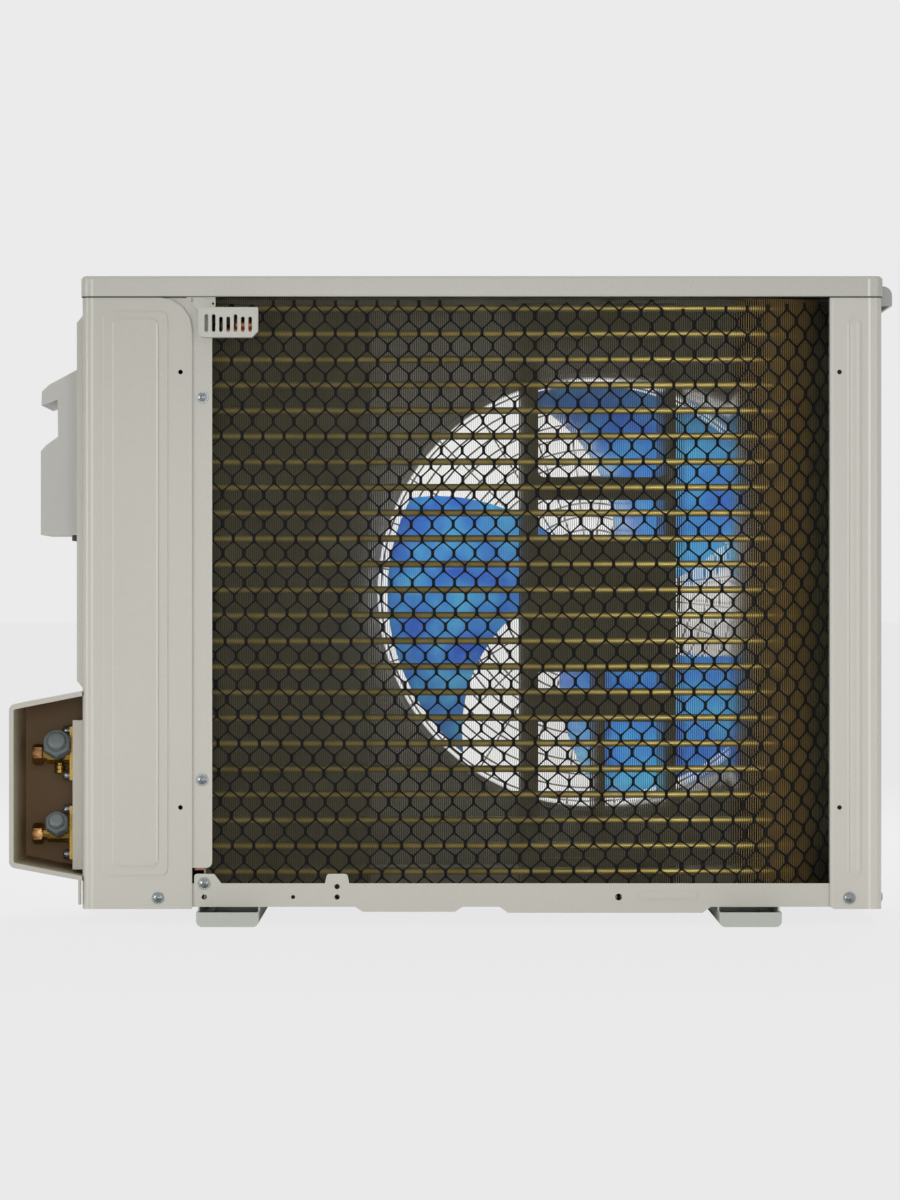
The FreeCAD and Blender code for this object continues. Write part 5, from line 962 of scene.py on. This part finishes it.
FLANGE = -147.5
SCREW_LOW = 27.0
SCREW_HIGH = 609.7
SCREW_FRONT = 138.0
SCREWS = [
    ((-286.8, FLANGE, 528.0), (0, -1, 0)),
    ((-286.8, FLANGE, 145.0), (0, -1, 0)),
    ((-284.7, FLANGE, 41.5), (0, -1, 0)),
    ((-330.8, REAR_PLANE, SCREW_LOW), (0, -1, 0)),
    ((360.7, REAR_PLANE, SCREW_LOW), (0, -1, 0)),
    ((CASING_RIGHT, -130.5, SCREW_LOW), (1, 0, 0)),
    ((CASING_RIGHT, SCREW_FRONT, SCREW_LOW), (1, 0, 0)),
    ((CASING_RIGHT, SCREW_FRONT, SCREW_HIGH), (1, 0, 0)),
    ((CASING_LEFT, SCREW_FRONT, SCREW_LOW), (-1, 0, 0)),
    ((CASING_LEFT, SCREW_FRONT, SCREW_HIGH), (-1, 0, 0)),
]
BOLT_RINGS = [
    (0.0, None, 5.8),
    (1.4, None, 5.8),
    (1.8, None, 5.1),
    (5.6, None, 5.0),
    (7.1, None, 4.1),
    (7.7, None, 2.4),
]
BOLT_SIDES = 24
# Face of the valves' flanges, and their bolts' heights from each valve's axis
VALVE_FACE = -423.75
BOLT_HEIGHTS = (24.3, -21.05)


def screw_height(radius, turn, index):
    """Height of a washer head with a cross recess."""
    if index == len(SCREW_RINGS) - 1:
        return WASHER_FOOT
    if index == len(SCREW_RINGS) - 2:
        return WASHER_EDGE
    if radius > SCREW_DOME:
        return WASHER_TOP
    top = DOME_HEIGHT - DOME_FALL * (radius / SCREW_DOME) ** 2
    across = radius * abs(math.cos(turn))
    along = radius * abs(math.sin(turn))
    if min(across, along) < RECESS_ARM and max(across, along) < RECESS_REACH:
        return top - RECESS_DEPTH
    return top


def screw(builder, place, out, spin):
    way = Vector(out)
    side = way.orthogonal().normalized()
    up = way.cross(side)
    start = len(builder.verts)
    for index, reach in enumerate(SCREW_RINGS):
        for k in range(SCREW_SIDES):
            turn = 2 * math.pi * k / SCREW_SIDES
            point = Vector(place) + way * screw_height(reach, turn, index)
            point += side * (reach * math.cos(turn + spin)) + up * (reach * math.sin(turn + spin))
            builder.verts.append(tuple(point))
    builder.skin(start, len(SCREW_RINGS), SCREW_SIDES)


def screws():
    heads = Builder()
    for index, (place, out) in enumerate(SCREWS):
        screw(heads, place, out, index * RECESS_TURN)
    for axis in (GAS_Z, LIQUID_Z):
        for height in BOLT_HEIGHTS:
            seat = (VALVE_FACE, VALVE_Y, axis + height)
            heads.turned(seat, (-1, 0, 0), (0, 0, 1), BOLT_RINGS, BOLT_SIDES)
    obj = heads.make("casing_screws", zinc, "casing", crease=SCREW_CREASE)
    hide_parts("panel_screws")


# Caps of the service valves, in millimetres

PORT_X = middle_mm("gas_flare_cap").x
PORT_TILT = math.radians(20.0)
PORT_WAY = (0, -math.cos(PORT_TILT), math.sin(PORT_TILT))
PORT_UP = (0, math.sin(PORT_TILT), math.cos(PORT_TILT))
FLARE_END = 48.0
# Half widths over the flats
GAS_FLATS = 13.0
LIQUID_FLATS = 10.7
STEM_FLATS = 9.5
# Turns of the stem caps, in degrees
GAS_SPIN = 14.0
LIQUID_SPIN = 0.0
STEM_CAP_X = box_mm("gas_stem_cap")[1].x
GAUGE_TOP = box_mm("service_port_cap")[1].z
GAUGE_RINGS = [
    (0.0, None, 4.9),
    (0.6, None, 5.9),
    (2.6, None, 5.9),
    (3.1, None, 4.8),
    (4.1, None, 4.8),
    (4.6, None, 5.9),
    (7.4, None, 5.9),
    (8.6, None, 5.2),
    (9.0, None, 3.6),
]


def hexagon_corner(flats):
    return flats / math.cos(math.pi / 6)


def flare_cap(name, node, z, flats):
    """Round collar, hexagon with turned corners and a low dome."""
    corner = hexagon_corner(flats)
    rings = [
        (17.0, None, flats * 0.8),
        (26.5, None, flats * 0.8),
        (26.5, flats, flats),
        (28.0, flats, corner),
        (38.5, flats, corner),
        (40.2, flats, flats * 1.03),
        (41.0, flats, flats * 0.93),
        (41.0, None, flats * 0.78),
        (FLARE_END - 3.0, None, flats * 0.72),
        (FLARE_END - 1.2, None, flats * 0.62),
        (FLARE_END - 0.3, None, flats * 0.42),
        (FLARE_END, None, flats * 0.2),
    ]
    cap = Builder()
    cap.turned((PORT_X, VALVE_Y, z), PORT_WAY, PORT_UP, rings)
    obj = cap.make(name, cap_plastic, "casing", crease=CREASE)
    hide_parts(node)


def stem_cap(name, node, z, spin):
    """Hexagon cap, turned by a spin in degrees."""
    corner = hexagon_corner(STEM_FLATS)
    rings = [
        (0.0, STEM_FLATS, STEM_FLATS * 0.97),
        (1.3, STEM_FLATS, corner),
        (9.2, STEM_FLATS, corner),
        (11.0, STEM_FLATS, STEM_FLATS * 0.97),
        (11.0, None, STEM_FLATS * 0.6),
    ]
    up = (0, math.sin(math.radians(spin)), math.cos(math.radians(spin)))
    cap = Builder()
    cap.turned((STEM_CAP_X, VALVE_Y, z), (-1, 0, 0), up, rings)
    obj = cap.make(name, cap_brass, "casing", crease=CREASE)
    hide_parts(node)


def gauge_cap():
    cap = Builder()
    cap.turned((PORT_X, VALVE_Y, GAUGE_TOP), (0, 0, -1), (0, 1, 0), GAUGE_RINGS)
    obj = cap.make("gauge_cap", brass, "casing", crease=CREASE)
    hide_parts("service_port_cap")


def valve_caps():
    flare_cap("gas_cap", "gas_flare_cap", GAS_Z, GAS_FLATS)
    flare_cap("liquid_cap", "liquid_flare_cap", LIQUID_Z, LIQUID_FLATS)
    stem_cap("gas_stem_nut", "gas_stem_cap", GAS_Z, GAS_SPIN)
    stem_cap("liquid_stem_nut", "liquid_stem_cap", LIQUID_Z, LIQUID_SPIN)
    gauge_cap()


# Holder of the outdoor air sensor, in millimetres

HOLDER_REAR = box_mm("sensor_holder")[0].y
HOLDER_LOW = box_mm("sensor_holder")[0].z
HOLDER_RIGHT, HOLDER_SEAT, EAR_HIGH = box_mm("sensor_holder")[1]
HOLDER_WIDTH = 59.5
HOLDER_HEIGHT = 30.0
HOLDER_LEFT = HOLDER_RIGHT - HOLDER_WIDTH
HOLDER_HIGH = HOLDER_LOW + HOLDER_HEIGHT
HOLDER_WALL = 2.0
HOLDER_CORNER = 6.0
HOLDER_ROUND = 1.0
CORNER_STEPS = 10
ROUND_STEPS = 4
# The hollow lies this much further in at its foot and at the cut corner
HOLLOW_ROOM = 2.0
SLOT_FIRST = -281.7
SLOT_PITCH = 7.28
SLOT_HALF = 1.85
SLOT_STEPS = 8
SLOT_LOW = 592.4
SLOT_TOPS = (610.0, 610.0, 607.6, 607.6, 610.0, 607.6, 607.6)
# The ear on the flange reaches to both sides of the holder's left end
EAR_OUTWARD = 13.2
EAR_INWARD = 16.5
EAR_LOW = 613.5
# Holes in the ear: middle across, middle height and radius
SQUARE_HOLE = (-296.4, 624.6, 2.2)
ROUND_HOLE = (-275.75, 621.5, 1.3)
BULB_START = (-253.5, -155.0, 599.6)
BULB_RINGS = [(0.0, None, 2.2), (1.0, None, 3.3), (18.5, None, 3.3), (19.5, None, 2.2)]
BULB_SIDES = 24


def arc(x, z, radius, first, last, steps):
    """Points on an arc between two angles in degrees."""
    points = []
    for i in range(steps + 1):
        turn = math.radians(first + (last - first) * i / steps)
        points.append((x + radius * math.cos(turn), z + radius * math.sin(turn)))
    return points


def holder_outline():
    """Cut corner at the low right, small rounds at the top and a large round at the low left."""
    right = HOLDER_RIGHT - HOLDER_ROUND
    left = HOLDER_LEFT + HOLDER_ROUND
    top = HOLDER_HIGH - HOLDER_ROUND
    outline = [(HOLDER_RIGHT - HOLDER_CORNER, HOLDER_LOW), (HOLDER_RIGHT, HOLDER_LOW + HOLDER_CORNER)]
    outline += arc(right, top, HOLDER_ROUND, 0, 90, ROUND_STEPS)
    outline += arc(left, top, HOLDER_ROUND, 90, 180, ROUND_STEPS)
    centre = (HOLDER_LEFT + HOLDER_CORNER, HOLDER_LOW + HOLDER_CORNER)
    outline += arc(*centre, HOLDER_CORNER, 180, 270, CORNER_STEPS)
    return outline


def holder_slots():
    slots = []
    for i, top in enumerate(SLOT_TOPS):
        x = SLOT_FIRST + SLOT_PITCH * i
        slot = arc(x, top - SLOT_HALF, SLOT_HALF, 0, 180, SLOT_STEPS)
        slot += arc(x, SLOT_LOW + SLOT_HALF, SLOT_HALF, 180, 360, SLOT_STEPS)
        slots.append(slot)
    return slots


def holder():
    outline = holder_outline()
    left = HOLDER_LEFT + HOLDER_WALL
    right = HOLDER_RIGHT - HOLDER_WALL
    low = HOLDER_LOW + HOLDER_WALL + HOLLOW_ROOM
    high = HOLDER_HIGH - HOLDER_WALL
    hollow = [(left, low), (right - HOLLOW_ROOM, low), (right, high), (left, high)]
    inner = HOLDER_REAR + HOLDER_WALL
    body = Builder()
    body.plate(outline, holder_slots(), HOLDER_REAR, inner)
    body.plate(outline, [hollow], inner, HOLDER_SEAT)
    ear = [
        (HOLDER_LEFT - EAR_OUTWARD, EAR_HIGH),
        (HOLDER_LEFT, EAR_LOW),
        (HOLDER_LEFT + EAR_INWARD, EAR_LOW),
        (HOLDER_LEFT + EAR_INWARD, EAR_HIGH),
    ]
    square = arc(*SQUARE_HOLE, 25, 295, 3)
    round_hole = arc(*ROUND_HOLE, 0, 330, 11)
    body.plate(ear, [square, round_hole], HOLDER_SEAT - HOLDER_WALL, HOLDER_SEAT)
    obj = body.make("slotted_holder", holder_plastic, "casing", crease=CREASE)
    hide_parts("sensor_holder")
    bulb = Builder()
    bulb.turned(BULB_START, (1, 0, 0), (0, 0, 1), BULB_RINGS, BULB_SIDES)
    bulb.make("sensor_bulb", probe_copper, "casing", crease=CREASE)


coil_fins()
coil_tubes()
net()
guard()
screws()
valve_caps()
holder()

# Stage, light and background

WHITE = (1, 1, 1, 1)
BACK = (0.83, 0.83, 0.83, 1)
WORLD_LIGHT = 0.44
FLOOR_COLOR = (0.92, 0.92, 0.92, 1)
FLOOR_HALF = 60.0
FLOOR_DROP = 0.0005
# Share of the floor's colour that no shadow reaches
FLOOR_GLOW = 0.94
# Lamps: name, place, target, size in metres and power in watts
AIM = (0.0, -0.1, 0.32)
LAMPS = [
    ("key", (-2.9, -3.3, 0.55), AIM, 1.0, 38),
    ("fill", (2.1, -4.0, 0.5), AIM, 0.9, 17),
    ("straight", (-0.04, -4.8, 0.5), AIM, 0.9, 20),
    ("top", (0.0, -0.8, 3.2), AIM, 2.0, 12),
    ("behind", (0.1, 1.7, 1.9), (0.1, 0.1, 0.33), 1.4, 50),
]


def backdrop():
    """A pale background where it is seen or mirrored, and a dimmer world that lights the object."""
    world = bpy.data.worlds.new("studio")
    bpy.context.scene.world = world
    world.use_nodes = True
    tree = world.node_tree
    base = tree.nodes["Background"]
    base.inputs["Color"].default_value = WHITE
    base.inputs["Strength"].default_value = WORLD_LIGHT
    plain = tree.nodes.new("ShaderNodeBackground")
    plain.inputs["Color"].default_value = BACK
    path = tree.nodes.new("ShaderNodeLightPath")
    seen = arithmetic(tree, "MAXIMUM", path.outputs["Is Camera Ray"], path.outputs["Is Glossy Ray"])
    seen = arithmetic(tree, "MAXIMUM", seen, path.outputs["Is Transmission Ray"])
    mix_shaders(tree, seen, base.outputs["Background"], plain.outputs["Background"], "World Output")


def floor():
    mesh = bpy.data.meshes.new("floor")
    signs = [(-1, -1), (1, -1), (1, 1), (-1, 1)]
    corners = [(x * FLOOR_HALF, y * FLOOR_HALF, -FLOOR_DROP) for x, y in signs]
    mesh.from_pydata(corners, [], [(0, 1, 2, 3)])
    mat, tree, shader = new_material("floor")
    shader.inputs["Base Color"].default_value = FLOOR_COLOR
    shader.inputs["Roughness"].default_value = 0.9
    shader.inputs["Specular IOR Level"].default_value = 0.0
    glow = tree.nodes.new("ShaderNodeEmission")
    glow.inputs["Color"].default_value = BACK
    path = tree.nodes.new("ShaderNodeLightPath")
    seen = arithmetic(tree, "MULTIPLY", path.outputs["Is Camera Ray"], FLOOR_GLOW)
    mix_shaders(tree, seen, shader.outputs["BSDF"], glow.outputs["Emission"], "Material Output")
    mesh.materials.append(mat)
    obj = bpy.data.objects.new("floor", mesh)
    bpy.context.scene.collection.objects.link(obj)


def lamp(name, place, target, size, power):
    data = bpy.data.lights.new(name, "AREA")
    data.shape = "SQUARE"
    data.size = size
    data.energy = power
    obj = bpy.data.objects.new(name, data)
    obj.location = place
    way = Vector(target) - Vector(place)
    obj.rotation_euler = way.to_track_quat("-Z", "Y").to_euler()
    bpy.context.scene.collection.objects.link(obj)


backdrop()
floor()
for lamp_values in LAMPS:
    lamp(*lamp_values)
